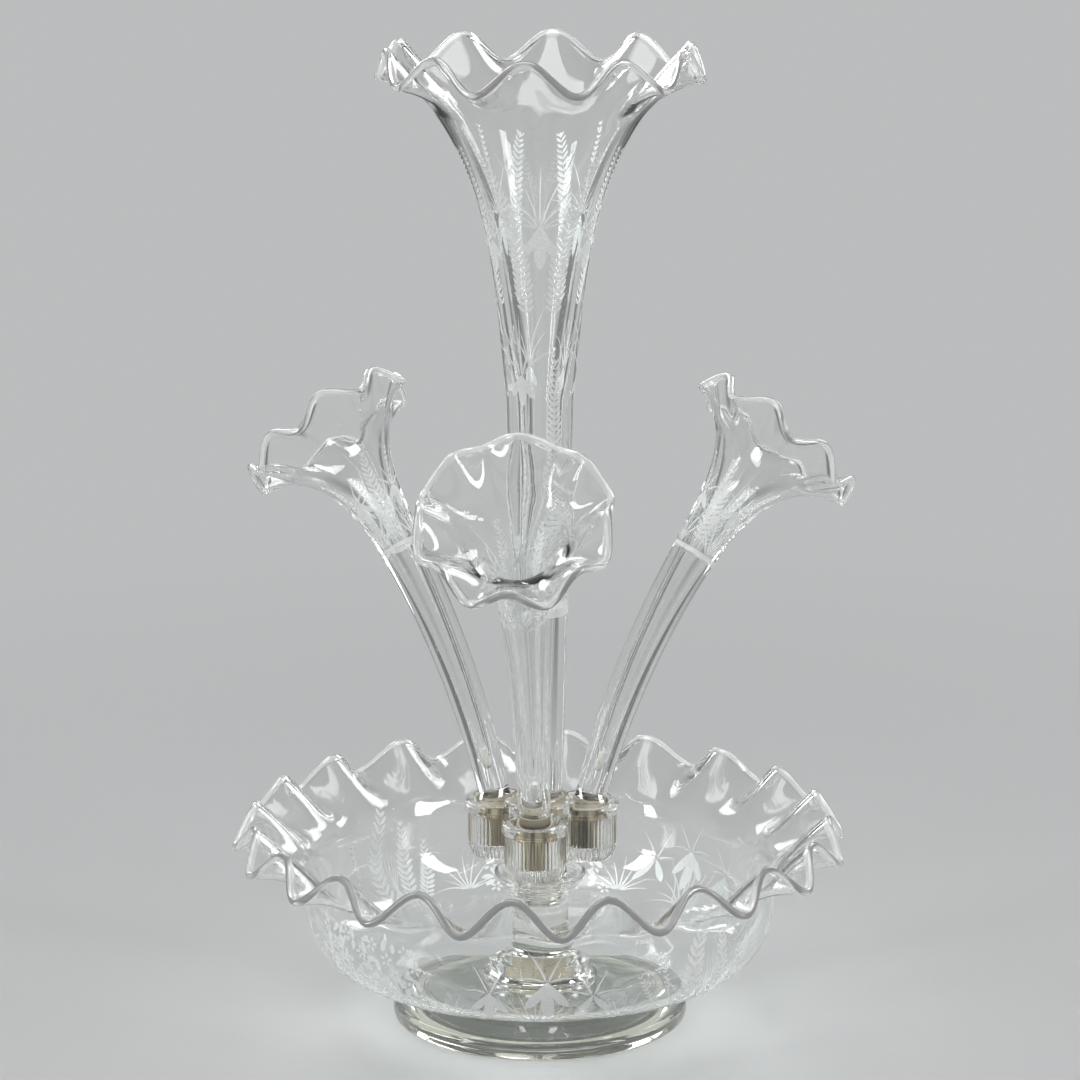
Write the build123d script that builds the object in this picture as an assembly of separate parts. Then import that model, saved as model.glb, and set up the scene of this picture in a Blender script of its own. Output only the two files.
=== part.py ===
"""Glass epergne: a ruffled bowl on a pressed foot, with a pedestal that carries four flower flutes.

Millimetres, +Z up. The origin is on the axis of the bowl, in the plane the foot stands on.
The front flute points towards -Y, and the other two side flutes follow every 120 degrees.
"""

import os
from dataclasses import dataclass
from math import asin, atan2, cos, exp, hypot, pi, radians, sin, tan

from build123d import *

os.makedirs("parts", exist_ok=True)

FIT = 0.3  # gap between pieces that slide or turn in each other

# Foot, a thick pressed disc
FOOT_RADIUS = 74.0
FOOT_EDGE = 9.0  # height of the edge
FOOT_CHAMFER = 2.0  # of its two corners
FOOT_HEIGHT = 13.0  # of the seat in the middle
FOOT_SEAT_RADIUS = 46.0
FOOT_GROOVE_RADIUS = 61.0  # groove round the underside
FOOT_GROOVE_WIDTH = 8.0  # with sides sloped at 45 degrees
FOOT_GROOVE_DEPTH = 2.0

# Bowl, blown and then ruffled
BOWL_WALL = 3.0
BOWL_BASE_RADIUS = 44.0
BOWL_BASE_RISE = 17.0  # degrees, slope of the underside outside the flat base
BOWL_RADIUS = 117.0
BOWL_CORNER = 32.0  # radius where the underside turns up into the wall
BOWL_WALL_TOP = 55.0  # height above the base where the wall starts to flare
BOWL_FLARE = 17.0  # radius of the flare
BOWL_FLARE_TURN = 45.0  # degrees
BOWL_RIM_RADIUS = 149.8
BOWL_RIM_RISE = 17.0  # from the top of the flare to the middle of the waves
BOWL_LOBES = 20
BOWL_WAVE = 18.0  # from trough to crest
BOWL_WAVE_TILT = 27.0  # degrees, the way crests lean inwards
BOWL_CREST = 7.0  # radius of each crest

# Pedestal, a pressed bell with a neck and a ringed collar on top
PEDESTAL_HEIGHT = 57.0  # from the bowl's floor to the floor of the saucer
BELL_RADIUS = 28.8
BELL_STEP = 7.0  # height of the lower step
BELL_WAIST_RADIUS = 24.6
BELL_BAND_RADIUS = 25.8
BELL_BAND_TOP = 15.0
BELL_SHOULDER_RADIUS = 17.6
BELL_HEIGHT = 22.5
BELL_BORE_RADIUS = 16.5
BELL_BORE_DEPTH = 19.0
NECK_RADIUS = 14.4
RING_STEPS = 3  # sloped rings under the saucer
RING_PITCH = 3.0
RING_GROWTH = 2.2  # each ring is this much wider than the one below
RING_OVERHANG = 0.9
SAUCER_RADIUS = 22.8
SAUCER_EDGE = 3.0
SAUCER_FLOOR_RADIUS = 19.0
SAUCER_DEPTH = 2.0
PEG_RADIUS = 9.0  # the cluster's peg in the top of the pedestal
PEG_LENGTH = 14.0

# Cluster of four pressed cups
CUP_CIRCLE = 25.5  # radius of the circle that the outer cups stand on
CLUSTER_STUB_RADIUS = 13.5
CLUSTER_STUB = 6.0  # from the saucer's floor up to the cups
CUP_RADIUS = 15.3
CUP_HEIGHT = 28.5
CUP_BEVEL = 5.0  # height of the tapered bottom
CUP_BEVEL_INSET = 2.6
CUP_FLUTES = 28
CUP_FLUTE_DEPTH = 0.8
CUP_LIP = 5.5  # height of the plain band at the mouth
CUP_LIP_PROUD = 1.4
CUP_FLOOR = 6.5
CUP_BORE_RADIUS = 11.4
CENTRE_CUP_RADIUS = 16.2
CENTRE_CUP_RAISE = 4.5  # the centre cup's mouth is this much higher
CENTRE_BORE_RADIUS = 12.6

# Plaster collars
COLLAR_PROUD = 2.5  # how far they stand out of the cups
COLLAR_CHAMFER = 1.0
COLLAR_EDGE = 0.2  # flat top left round the centre stem
CUFF_WALL = 1.4  # of the slanted cuff round a side stem, at its top
CUFF_SPREAD = 2.0  # the cuff is this much wider where it leaves the plug
SOCKET_FLOOR = 6.5  # plaster under a stem

# Centre flute
CENTRE_END_RADIUS = 10.8  # of the end that fits the socket
CENTRE_END_LENGTH = 22.0
CENTRE_STEM_RADIUS = 11.6
CENTRE_STRAIGHT = 223.4  # length of the slightly tapered stem, with its end
CENTRE_STEM_TOP_RADIUS = 16.5
CENTRE_FLARE_RISE = 147.5  # from the top of the stem to the foot of the ruffle
CENTRE_CONE = 14.0  # how far the flare opens evenly
CENTRE_BELL = 26.5  # and how far it curls out as well, mostly near the mouth
CENTRE_WALL = 3.0
CENTRE_STEM_WALL = 9.0
CENTRE_RIM_RADIUS = 77.2
CENTRE_RIM_RISE = 14.7
CENTRE_LOBES = 10
CENTRE_WAVE = 15.8
CENTRE_WAVE_TILT = 12.0
CENTRE_CREST = 7.5
CENTRE_TURN = 18.0  # degrees, so that a crest stands at the front

# Side flutes
SIDE_STEM_RADIUS = 7.8
SIDE_LEAN = 16.0  # degrees, at the socket
SIDE_MOUTH_LEAN = 43.5  # degrees, at the mouth
SIDE_BEND = 400.0  # radius of the long bend
SIDE_STRAIGHT = 14.0  # straight end that fits the socket
SIDE_SOCKET_DEPTH = 5.0  # the stem goes this far past the point where it crosses the cup's axis
SIDE_CROSSING = 22.0  # height of that point above the foot of the cup
SIDE_TAPER = 4.2  # the stem widens this much over the bend
SIDE_FLARE = 17.5  # and the mouth this much more
SIDE_FLARE_REACH = 18.0  # length over which the flare dies away
SIDE_WALL = 2.8
SIDE_CHANNEL_RADIUS = 2.4
SIDE_RIM_RADIUS = 46.0
SIDE_RIM_RISE = 13.0
SIDE_LOBES = 8
SIDE_WAVE = 10.5
SIDE_WAVE_TILT = 12.0
SIDE_CREST = 5.5

STEM_CHAMFER = 1.0  # at the lower end of every stem

# Facets of the round pieces
FLAT = 1e-6
LARGE_SIDES = 60
PRESSED_SIDES = 36
COLLAR_SIDES = 24
CREST_FACETS = 4  # across each crest and trough
CORNER_STEPS = 3
FLARE_STEPS = 2
TRUMPET_STEPS = 6
BEND_SHARES = (0.0, 0.25, 0.5, 0.75, 0.9, 1.0)  # where a side flute has its rings

# Levels that follow from the sizes above
BOWL_FLOOR = FOOT_HEIGHT + BOWL_WALL
SAUCER_FLOOR = BOWL_FLOOR + PEDESTAL_HEIGHT
CUP_FOOT = SAUCER_FLOOR + CLUSTER_STUB
CUP_TOP = CUP_FOOT + CUP_HEIGHT
CENTRE_CUP_TOP = CUP_TOP + CENTRE_CUP_RAISE
CUP_BORE_FLOOR = CUP_FOOT + CUP_FLOOR
CENTRE_STEM_END = CUP_BORE_FLOOR + FIT + SOCKET_FLOOR + FIT
SIDE_PIVOT = CUP_FOOT + SIDE_CROSSING
SIDE_AZIMUTHS = {"front": -90.0, "right": 30.0, "left": 150.0}


def polar(radius, height, angle):
    """Point at a radius, a height and an angle in radians."""
    return Vector(radius * cos(angle), radius * sin(angle), height)


def arc_points(centre, radius, start, end, steps):
    """Points (radius, height) along an arc of a profile, between two angles in degrees."""
    angles = [radians(start + (end - start) * step / steps) for step in range(steps + 1)]
    return [(centre[0] + radius * cos(angle), centre[1] + radius * sin(angle)) for angle in angles]


def ring(radius, height, sides, plane=Plane.XY):
    """Points on a circle, counted from the plane's X axis."""
    return [plane.from_local_coords(polar(radius, height, 2 * pi * i / sides)) for i in range(sides)]


def facet(*points):
    return Face(Wire.make_polygon(points, close=True))


def band(lower, upper):
    """Facets between two rings that have as many points, split where four points aren't flat."""
    faces = []
    for a, b, c, d in zip(lower, lower[1:] + lower[:1], upper, upper[1:] + upper[:1]):
        if abs((b - a).cross(c - a).dot(d - a)) < FLAT:
            faces.append(facet(a, b, d, c))
        else:
            faces += [facet(a, b, c), facet(b, d, c)]
    return faces


def bands(rings):
    return [face for lower, upper in zip(rings, rings[1:]) for face in band(lower, upper)]


def sewn(faces):
    return Solid(Shell(Face.sew_faces(faces)[0]))


def turned(*points, sides, plane=Plane.XY):
    """Turned solid with flat sides, from the (radius, height) of its rings, lowest first."""
    rings = [ring(radius, height, sides, plane) for radius, height in points]
    return sewn([facet(*rings[0]), facet(*rings[-1])] + bands(rings)).clean()


def round_bar(radius, bottom, top, sides):
    return turned((radius, bottom), (radius, top), sides=sides)


def wave_groups(rim, wave, tilt, crest, lobes, plane):
    """Points of a waved edge, one group for each rounded crest or trough, joined by straight flanks."""
    half_pitch = rim[0] * sin(pi / lobes)
    offset = wave / 2 - crest
    lean = atan2(2 * offset, half_pitch) + asin(2 * crest / hypot(half_pitch, 2 * offset))
    groups = []
    for turn in range(2 * lobes):
        angle = turn * pi / lobes
        side = 1 if turn % 2 == 0 else -1
        group = []
        for step in range(CREST_FACETS + 1):
            bend = lean * (2 * step / CREST_FACETS - 1)
            swing = side * (offset + crest * cos(bend))
            point = polar(rim[0] - swing * sin(tilt), rim[1] + swing * cos(tilt), angle)
            point += Vector(-sin(angle), cos(angle), 0) * (crest * sin(bend))
            group.append(plane.from_local_coords(point))
        groups.append(group)
    return groups


def ruffled_sheet(base, groups):
    """Facets from a ring, with four points to each wave, up to the waved edge."""
    faces = []
    for index, group in enumerate(groups):
        foot_point, middle = base[2 * index], base[2 * index + 1]
        next_foot = base[(2 * index + 2) % len(base)]
        next_group = groups[(index + 1) % len(groups)]
        faces += [facet(foot_point, a, b) for a, b in zip(group, group[1:])]
        faces.append(facet(foot_point, group[-1], middle))
        faces.append(facet(group[-1], next_group[0], middle))
        faces.append(facet(middle, next_group[0], next_foot))
    return faces


@dataclass
class Ruffle:
    """Waved mouth of a blown piece. The rim is the (radius, height) of the middle of the waves."""

    rim: tuple
    wall: float
    wave: float
    tilt: float
    crest: float
    lobes: int

    def sides(self):
        return 4 * self.lobes

    def closing(self, outer_base, inner_base, plane):
        """Facets that carry on from the outer wall, over the edge and down to the inner wall."""
        groups = []
        for share in (0, 1):
            rim = (self.rim[0] - share * self.wall * sin(self.tilt), self.rim[1] + share * self.wall)
            groups.append(wave_groups(rim, self.wave, self.tilt, self.crest, self.lobes, plane))
        edges = [[point for group in waved for point in group] for waved in groups]
        return ruffled_sheet(outer_base, groups[0]) + band(*edges) + ruffled_sheet(inner_base, groups[1])


def blown(outer, inner, ruffle, plane=Plane.XY):
    """Solid of thin glass from its outer rings, its inner rings and its ruffled mouth."""
    faces = [facet(*outer[0]), facet(*inner[0])]
    faces += bands(outer) + bands(inner) + ruffle.closing(outer[-1], inner[-1], plane)
    return sewn(faces)


def foot():
    groove_inside = FOOT_GROOVE_RADIUS - FOOT_GROOVE_WIDTH / 2
    groove_outside = FOOT_GROOVE_RADIUS + FOOT_GROOVE_WIDTH / 2
    return turned(
        (groove_inside, 0),
        (groove_inside + FOOT_GROOVE_DEPTH, FOOT_GROOVE_DEPTH),
        (groove_outside - FOOT_GROOVE_DEPTH, FOOT_GROOVE_DEPTH),
        (groove_outside, 0),
        (FOOT_RADIUS - FOOT_CHAMFER, 0),
        (FOOT_RADIUS, FOOT_CHAMFER),
        (FOOT_RADIUS, FOOT_EDGE - FOOT_CHAMFER),
        (FOOT_RADIUS - FOOT_CHAMFER, FOOT_EDGE),
        (FOOT_SEAT_RADIUS, FOOT_HEIGHT),
        sides=LARGE_SIDES,
    )


def bowl():
    rise = radians(BOWL_BASE_RISE)
    corner_x = BOWL_RADIUS - BOWL_CORNER
    slope_height = (corner_x + BOWL_CORNER * sin(rise) - BOWL_BASE_RADIUS) * tan(rise)
    corner = (corner_x, FOOT_HEIGHT + slope_height + BOWL_CORNER * cos(rise))
    flare = (BOWL_RADIUS + BOWL_FLARE, FOOT_HEIGHT + BOWL_WALL_TOP)

    def wall_profile(inset, base):
        """Half section of one side of the wall, inset from the outside, up to the ruffled edge."""
        underside = arc_points(corner, BOWL_CORNER - inset, BOWL_BASE_RISE - 90, 0, CORNER_STEPS)
        flared = arc_points(flare, BOWL_FLARE + inset, 180, 180 - BOWL_FLARE_TURN, FLARE_STEPS)
        return [(BOWL_BASE_RADIUS - inset * tan(rise / 2), base)] + underside + flared

    outside = wall_profile(0, FOOT_HEIGHT)
    inside = wall_profile(BOWL_WALL, BOWL_FLOOR)
    ruffle = Ruffle(
        rim=(BOWL_RIM_RADIUS, outside[-1][1] + BOWL_RIM_RISE),
        wall=BOWL_WALL,
        wave=BOWL_WAVE,
        tilt=radians(BOWL_WAVE_TILT),
        crest=BOWL_CREST,
        lobes=BOWL_LOBES,
    )
    rings = [[ring(r, z, ruffle.sides()) for r, z in profile] for profile in (outside, inside)]
    return blown(*rings, ruffle)


def pedestal():
    top = SAUCER_FLOOR + SAUCER_DEPTH
    saucer_under = top - SAUCER_EDGE
    bell = [
        (BELL_RADIUS, 0),
        (BELL_RADIUS, BELL_STEP - 1.5),
        (BELL_WAIST_RADIUS, BELL_STEP + 1.5),
        (BELL_BAND_RADIUS, BELL_STEP + 4),
        (BELL_BAND_RADIUS, BELL_BAND_TOP),
        (BELL_SHOULDER_RADIUS, BELL_HEIGHT),
        (NECK_RADIUS, BELL_HEIGHT + 4),
    ]
    points = [(radius, BOWL_FLOOR + height) for radius, height in bell]
    for step in range(RING_STEPS):
        radius = NECK_RADIUS + step * RING_GROWTH
        level = saucer_under - (RING_STEPS - step) * RING_PITCH
        points += [(radius, level), (radius + RING_GROWTH + RING_OVERHANG, level + RING_PITCH - RING_OVERHANG)]
    points += [
        (NECK_RADIUS + RING_STEPS * RING_GROWTH, saucer_under),
        (SAUCER_RADIUS, saucer_under + 1),
        (SAUCER_RADIUS, top),
        (SAUCER_FLOOR_RADIUS + SAUCER_DEPTH, top),
        (SAUCER_FLOOR_RADIUS, SAUCER_FLOOR),
    ]
    bell_bore = round_bar(BELL_BORE_RADIUS, BOWL_FLOOR, BOWL_FLOOR + BELL_BORE_DEPTH, PRESSED_SIDES)
    socket = round_bar(PEG_RADIUS + FIT, SAUCER_FLOOR - PEG_LENGTH - FIT, SAUCER_FLOOR, PRESSED_SIDES)
    return turned(*points, sides=PRESSED_SIDES) - bell_bore - socket


def star(radius, depth, height):
    """Flat outline with one sharp rib for each pressed flute."""
    corners = []
    for index in range(2 * CUP_FLUTES):
        reach = radius if index % 2 == 0 else radius - depth
        corners.append(polar(reach, height, index * pi / CUP_FLUTES))
    return facet(*corners)


def cup_body(radius, top):
    """Fluted cup without its bore: a tapered bottom, flutes and a plain band at the mouth."""
    bevel_top = CUP_FOOT + CUP_BEVEL
    lip_foot = top - CUP_LIP
    shrink = (radius - CUP_BEVEL_INSET) / radius
    outline = star(radius, CUP_FLUTE_DEPTH, bevel_top)
    bottom = loft([star(radius * shrink, CUP_FLUTE_DEPTH * shrink, CUP_FOOT), outline], ruled=True)
    flutes = extrude(outline, lip_foot - bevel_top, dir=(0, 0, 1))
    return bottom + flutes + round_bar(radius + CUP_LIP_PROUD, lip_foot, top, CUP_FLUTES)


def side_places():
    """Place of each side cup: out along +X, then turned to its azimuth."""
    return {name: Rot(0, 0, azimuth) * Pos(CUP_CIRCLE, 0, 0) for name, azimuth in SIDE_AZIMUTHS.items()}


def cup_cluster():
    solid = cup_body(CENTRE_CUP_RADIUS, CENTRE_CUP_TOP)
    for place in side_places().values():
        solid += place * cup_body(CUP_RADIUS, CUP_TOP)
    solid += round_bar(CLUSTER_STUB_RADIUS, SAUCER_FLOOR, CUP_FOOT + 1, PRESSED_SIDES)
    solid += round_bar(PEG_RADIUS, SAUCER_FLOOR - PEG_LENGTH, SAUCER_FLOOR, PRESSED_SIDES)
    solid -= round_bar(CENTRE_BORE_RADIUS, CUP_BORE_FLOOR, CENTRE_CUP_TOP, CUP_FLUTES)
    for place in side_places().values():
        solid -= place * round_bar(CUP_BORE_RADIUS, CUP_BORE_FLOOR, CENTRE_CUP_TOP, CUP_FLUTES)
    return solid


def centre_collar():
    """Plaster plug with a straight socket for the centre stem."""
    radius = CENTRE_BORE_RADIUS - FIT
    top = CENTRE_CUP_TOP + COLLAR_PROUD
    bore = CENTRE_END_RADIUS + FIT
    plug = turned(
        (radius, CUP_BORE_FLOOR + FIT),
        (radius, top - COLLAR_CHAMFER),
        (bore + COLLAR_EDGE, top),
        sides=COLLAR_SIDES,
    )
    return plug - round_bar(bore, CENTRE_STEM_END - FIT, top, COLLAR_SIDES)


def lean_plane(x, z, lean):
    """Plane square to a flute's line at (x, z), with its normal leaning out by lean degrees."""
    angle = radians(lean)
    return Plane(origin=(x, 0, z), x_dir=(cos(angle), 0, -sin(angle)), z_dir=(sin(angle), 0, cos(angle)))


def side_plane(distance):
    """Plane square to a side flute's line, at a distance from the end of its stem."""
    start = SIDE_LEAN
    straight = min(distance, SIDE_STRAIGHT) - SIDE_SOCKET_DEPTH
    x = straight * sin(radians(start))
    z = SIDE_PIVOT + straight * cos(radians(start))
    turn = max(distance - SIDE_STRAIGHT, 0) / SIDE_BEND
    lean = radians(start) + turn
    x += SIDE_BEND * (cos(radians(start)) - cos(lean))
    z += SIDE_BEND * (sin(lean) - sin(radians(start)))
    return lean_plane(x, z, lean * 180 / pi)


def bend_length():
    return SIDE_BEND * radians(SIDE_MOUTH_LEAN - SIDE_LEAN)


def side_radius(distance):
    """Outer radius of a side flute at a distance from the end of its stem."""
    along = distance - SIDE_STRAIGHT
    if along <= 0:
        return SIDE_STEM_RADIUS
    length = bend_length()
    return SIDE_STEM_RADIUS + SIDE_TAPER * along / length + SIDE_FLARE * exp((along - length) / SIDE_FLARE_REACH)


def side_bore(distance):
    """Inner radius of a side flute, which opens from a narrow channel to the thin mouth."""
    share = max(distance - SIDE_STRAIGHT, 0) / bend_length()
    mouth = side_radius(distance) - SIDE_WALL
    return SIDE_CHANNEL_RADIUS + (mouth - SIDE_CHANNEL_RADIUS) * share**1.5


def side_collar():
    """Plaster plug with a slanted socket and cuff, in place on the cup at azimuth 0."""
    radius = CUP_BORE_RADIUS - FIT
    bottom = CUP_BORE_FLOOR + FIT
    bore = SIDE_STEM_RADIUS + FIT
    cuff_height = (CUP_TOP + COLLAR_PROUD - SIDE_PIVOT) / cos(radians(SIDE_LEAN))
    cuff = turned(
        (bore + CUFF_WALL + CUFF_SPREAD, 0),
        (bore + CUFF_WALL, cuff_height),
        sides=COLLAR_SIDES,
        plane=side_plane(SIDE_SOCKET_DEPTH),
    )
    socket = turned((bore, 0), (bore, CUP_HEIGHT), sides=COLLAR_SIDES, plane=side_plane(-FIT))
    plug = round_bar(radius, bottom, CUP_TOP - COLLAR_CHAMFER, COLLAR_SIDES)
    return plug + (cuff & round_bar(radius, bottom, CENTRE_CUP_TOP, COLLAR_SIDES)) - socket


def centre_flute():
    stem_top = CENTRE_STEM_END + CENTRE_STRAIGHT
    shares = [1 - (1 - step / TRUMPET_STEPS) ** 1.6 for step in range(TRUMPET_STEPS + 1)]

    def trumpet(radius, cone):
        """Flare of one side of the wall, from the top of the stem to the foot of the ruffle."""
        spread = [(radius + cone * share + CENTRE_BELL * share**4, share) for share in shares]
        return [(r, stem_top + CENTRE_FLARE_RISE * share) for r, share in spread]

    outside = [
        (CENTRE_END_RADIUS - STEM_CHAMFER, CENTRE_STEM_END),
        (CENTRE_END_RADIUS, CENTRE_STEM_END + STEM_CHAMFER),
        (CENTRE_END_RADIUS, CENTRE_STEM_END + CENTRE_END_LENGTH),
        (CENTRE_STEM_RADIUS, CENTRE_STEM_END + 1.4 * CENTRE_END_LENGTH),
    ] + trumpet(CENTRE_STEM_TOP_RADIUS, CENTRE_CONE)
    cavity = CENTRE_STEM_TOP_RADIUS - CENTRE_STEM_WALL
    inside = [
        (cavity / 4, CENTRE_STEM_END + 1.8 * CENTRE_END_LENGTH),
        (cavity / 2, CENTRE_STEM_END + 2 * CENTRE_END_LENGTH),
    ] + trumpet(cavity, CENTRE_CONE + CENTRE_STEM_WALL - CENTRE_WALL)
    ruffle = Ruffle(
        rim=(CENTRE_RIM_RADIUS, outside[-1][1] + CENTRE_RIM_RISE),
        wall=CENTRE_WALL,
        wave=CENTRE_WAVE,
        tilt=radians(CENTRE_WAVE_TILT),
        crest=CENTRE_CREST,
        lobes=CENTRE_LOBES,
    )
    rings = [[ring(r, z, ruffle.sides()) for r, z in profile] for profile in (outside, inside)]
    return Rot(0, 0, CENTRE_TURN) * blown(*rings, ruffle)


def side_flute():
    """Curved flute in place on the cup at azimuth 0, whose axis is Z."""
    ruffle = Ruffle(
        rim=(SIDE_RIM_RADIUS, SIDE_RIM_RISE),
        wall=SIDE_WALL,
        wave=SIDE_WAVE,
        tilt=radians(SIDE_WAVE_TILT),
        crest=SIDE_CREST,
        lobes=SIDE_LOBES,
    )

    def section(distance, radius):
        return ring(radius, 0, ruffle.sides(), side_plane(distance))

    stops = [SIDE_STRAIGHT + share * bend_length() for share in BEND_SHARES]
    outside = [section(0, SIDE_STEM_RADIUS - STEM_CHAMFER), section(STEM_CHAMFER, SIDE_STEM_RADIUS)]
    outside += [section(stop, side_radius(stop)) for stop in stops]
    inside = [section(SIDE_STRAIGHT, SIDE_CHANNEL_RADIUS)]
    inside += [section(stop, side_bore(stop)) for stop in stops[1:]]
    return blown(outside, inside, ruffle, side_plane(stops[-1]))


def build():
    """Every node, by name."""
    nodes = {
        "foot": foot(),
        "bowl": bowl(),
        "pedestal": pedestal(),
        "pedestal_cement": round_bar(BELL_BORE_RADIUS, BOWL_FLOOR, BOWL_FLOOR + BELL_BORE_DEPTH, PRESSED_SIDES),
        "cup_cluster": cup_cluster(),
        "centre_collar": centre_collar(),
        "centre_flute": centre_flute(),
    }
    collar = side_collar()
    flute = side_flute()
    for name, place in side_places().items():
        nodes[f"{name}_collar"] = place * collar
        nodes[f"{name}_flute"] = place * flute
    return nodes


for node, shape in build().items():
    export_step(shape, f"parts/{node}.step")
    print(f"{node}: {shape.volume:.0f} mm3, {len(shape.solids())} solid")
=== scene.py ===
"""Studio scene of a glass epergne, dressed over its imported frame.

Every piece of glass is modelled here with its true thickness, rounded edges and even waves, and laid over the
solid that it stands for. Sizes are in millimetres, and Blender's meshes are in metres.
"""
import logging
import random
from dataclasses import dataclass, field
from enum import Enum
from math import atan2, cos, exp, hypot, pi, radians, sin, sqrt
from typing import Callable

import bpy
from bpy.types import Material, Node, NodeTree, Object
from mathutils import Matrix, Vector
from mathutils.kdtree import KDTree


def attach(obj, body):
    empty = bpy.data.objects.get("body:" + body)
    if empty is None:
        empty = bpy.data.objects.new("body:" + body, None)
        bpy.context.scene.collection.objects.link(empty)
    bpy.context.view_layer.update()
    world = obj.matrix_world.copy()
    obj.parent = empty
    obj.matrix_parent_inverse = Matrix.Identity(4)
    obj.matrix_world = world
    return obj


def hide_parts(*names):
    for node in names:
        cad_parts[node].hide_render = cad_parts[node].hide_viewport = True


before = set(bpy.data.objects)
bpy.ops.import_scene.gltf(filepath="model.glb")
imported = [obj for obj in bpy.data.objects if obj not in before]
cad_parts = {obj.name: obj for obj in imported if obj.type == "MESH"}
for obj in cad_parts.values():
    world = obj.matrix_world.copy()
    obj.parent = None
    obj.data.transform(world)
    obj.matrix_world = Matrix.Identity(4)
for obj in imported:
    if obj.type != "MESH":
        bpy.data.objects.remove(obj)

MM = 0.001
GAP = 0.05  # mm of air kept between two surfaces that would otherwise lie in each other
Line = list[tuple[float, float]]
Colour = tuple[float, float, float]

log = logging.getLogger("epergne")


class Slot(Enum):
    """Material slots of the record."""

    PRESSED = "pressed_glass"
    BLOWN = "blown_glass"
    PLASTER = "plaster"


class Side(Enum):
    """Places of the three side flutes, as the turn of each from +X in degrees."""

    FRONT = -90.0
    RIGHT = 30.0
    LEFT = 150.0


# The workbench: drawing, spinning, cutting


def clear_selection() -> None:
    """Leaves edit mode and selects nothing."""
    active = bpy.context.view_layer.objects.active
    if active is not None and active.mode != "OBJECT":
        bpy.ops.object.mode_set(mode="OBJECT")
    bpy.ops.object.select_all(action="DESELECT")


def take(piece: Object) -> None:
    """Selects one piece alone.

    Args:
        piece: the piece to work on.
    """
    clear_selection()
    piece.select_set(True)
    bpy.context.view_layer.objects.active = piece


def close_skin(piece: Object, tolerance: float = 0.002) -> None:
    """Merges the points that lie on each other and turns every face outwards.

    Args:
        piece: the piece to close.
        tolerance: the largest distance merged, in mm.
    """
    take(piece)
    bpy.ops.object.mode_set(mode="EDIT")
    bpy.ops.mesh.select_all(action="SELECT")
    bpy.ops.mesh.remove_doubles(threshold=tolerance * MM)
    bpy.ops.mesh.normals_make_consistent(inside=False)
    bpy.ops.object.mode_set(mode="OBJECT")


def spun(name: str, line: Line, steps: int) -> Object:
    """Draws a half section point by point and spins it round the upright axis.

    Args:
        name: the new piece's name.
        line: the section's points as (radius, height).
        steps: the number of faces round the piece.

    Returns:
        The spun piece, with its doubles merged and its faces outwards.
    """
    clear_selection()
    bpy.ops.mesh.primitive_plane_add(size=MM, location=(0, 0, 0))
    piece = bpy.context.object
    piece.name = name
    bpy.ops.object.mode_set(mode="EDIT")
    bpy.ops.mesh.merge(type="CENTER")
    bpy.ops.transform.translate(value=(line[0][0] * MM, 0, line[0][1] * MM))
    for (radius, height), (next_radius, next_height) in zip(line, line[1:]):
        move = ((next_radius - radius) * MM, 0, (next_height - height) * MM)
        bpy.ops.mesh.extrude_region_move(TRANSFORM_OT_translate={"value": move})
    bpy.ops.mesh.select_all(action="SELECT")
    bpy.ops.mesh.spin(steps=steps, angle=2 * pi, center=(0, 0, 0), axis=(0, 0, 1))
    bpy.ops.object.mode_set(mode="OBJECT")
    close_skin(piece)
    return piece


def moved(piece: Object, matrix: Matrix) -> Object:
    """Moves a piece's mesh, so that its object stays at the origin.

    Args:
        piece: the piece to move.
        matrix: where it goes, in metres.

    Returns:
        The same piece.
    """
    piece.data.transform(matrix)
    piece.data.update()
    return piece


def twin(piece: Object, name: str, matrix: Matrix) -> Object:
    """Copies a piece, with a mesh of its own, to another place.

    Args:
        piece: the piece to copy.
        name: the copy's name.
        matrix: how the copy's mesh is moved.

    Returns:
        The copy.
    """
    copy = piece.copy()
    copy.data = piece.data.copy()
    copy.name = name
    bpy.context.collection.objects.link(copy)
    return moved(copy, matrix)


def cut(piece: Object, tool: Object, operation: str) -> None:
    """Joins a piece with a tool, cuts the tool out of it, or keeps what both share, and removes the tool.

    Args:
        piece: the piece that stays.
        tool: the solid that is used up.
        operation: UNION, DIFFERENCE or INTERSECT.
    """
    modifier = piece.modifiers.new("cut", "BOOLEAN")
    modifier.operation = operation
    modifier.solver = "EXACT"
    modifier.object = tool
    take(piece)
    bpy.ops.object.modifier_apply(modifier=modifier.name)
    bpy.data.objects.remove(tool)


def soften(piece: Object, width: float, angle: float = 30.0, segments: int = 3) -> None:
    """Rounds a piece's sharp edges.

    Args:
        piece: the piece to round.
        width: the width of each rounding, in mm.
        angle: the least turn of an edge that is rounded, in degrees.
        segments: faces across a rounding.
    """
    modifier = piece.modifiers.new("soften", "BEVEL")
    modifier.width = width * MM
    modifier.segments = segments
    modifier.limit_method = "ANGLE"
    modifier.angle_limit = radians(angle)
    take(piece)
    bpy.ops.object.modifier_apply(modifier=modifier.name)


def polish(piece: Object, angle: float = 35.0) -> None:
    """Shades a piece smooth up to an angle in degrees."""
    take(piece)
    bpy.ops.object.shade_smooth_by_angle(angle=radians(angle))


def dress(piece: Object, material: Material, body: str, slot: Slot, *nodes: str) -> Object:
    """Gives a piece its finish, where it has none yet, and fixes it to its body.

    Args:
        piece: the finished piece.
        material: its finish.
        body: the body of the frame that carries it.
        slot: the record's slot that it belongs to; not used.
        nodes: the nodes that it stands for.

    Returns:
        The same piece.
    """
    if material.name not in piece.data.materials:
        piece.data.materials.clear()
        piece.data.materials.append(material)
    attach(piece, body)
    if nodes:
        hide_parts(*nodes)
    log.info("%s: %d faces, rides on %s", piece.name, len(piece.data.polygons), body)
    return piece


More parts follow.
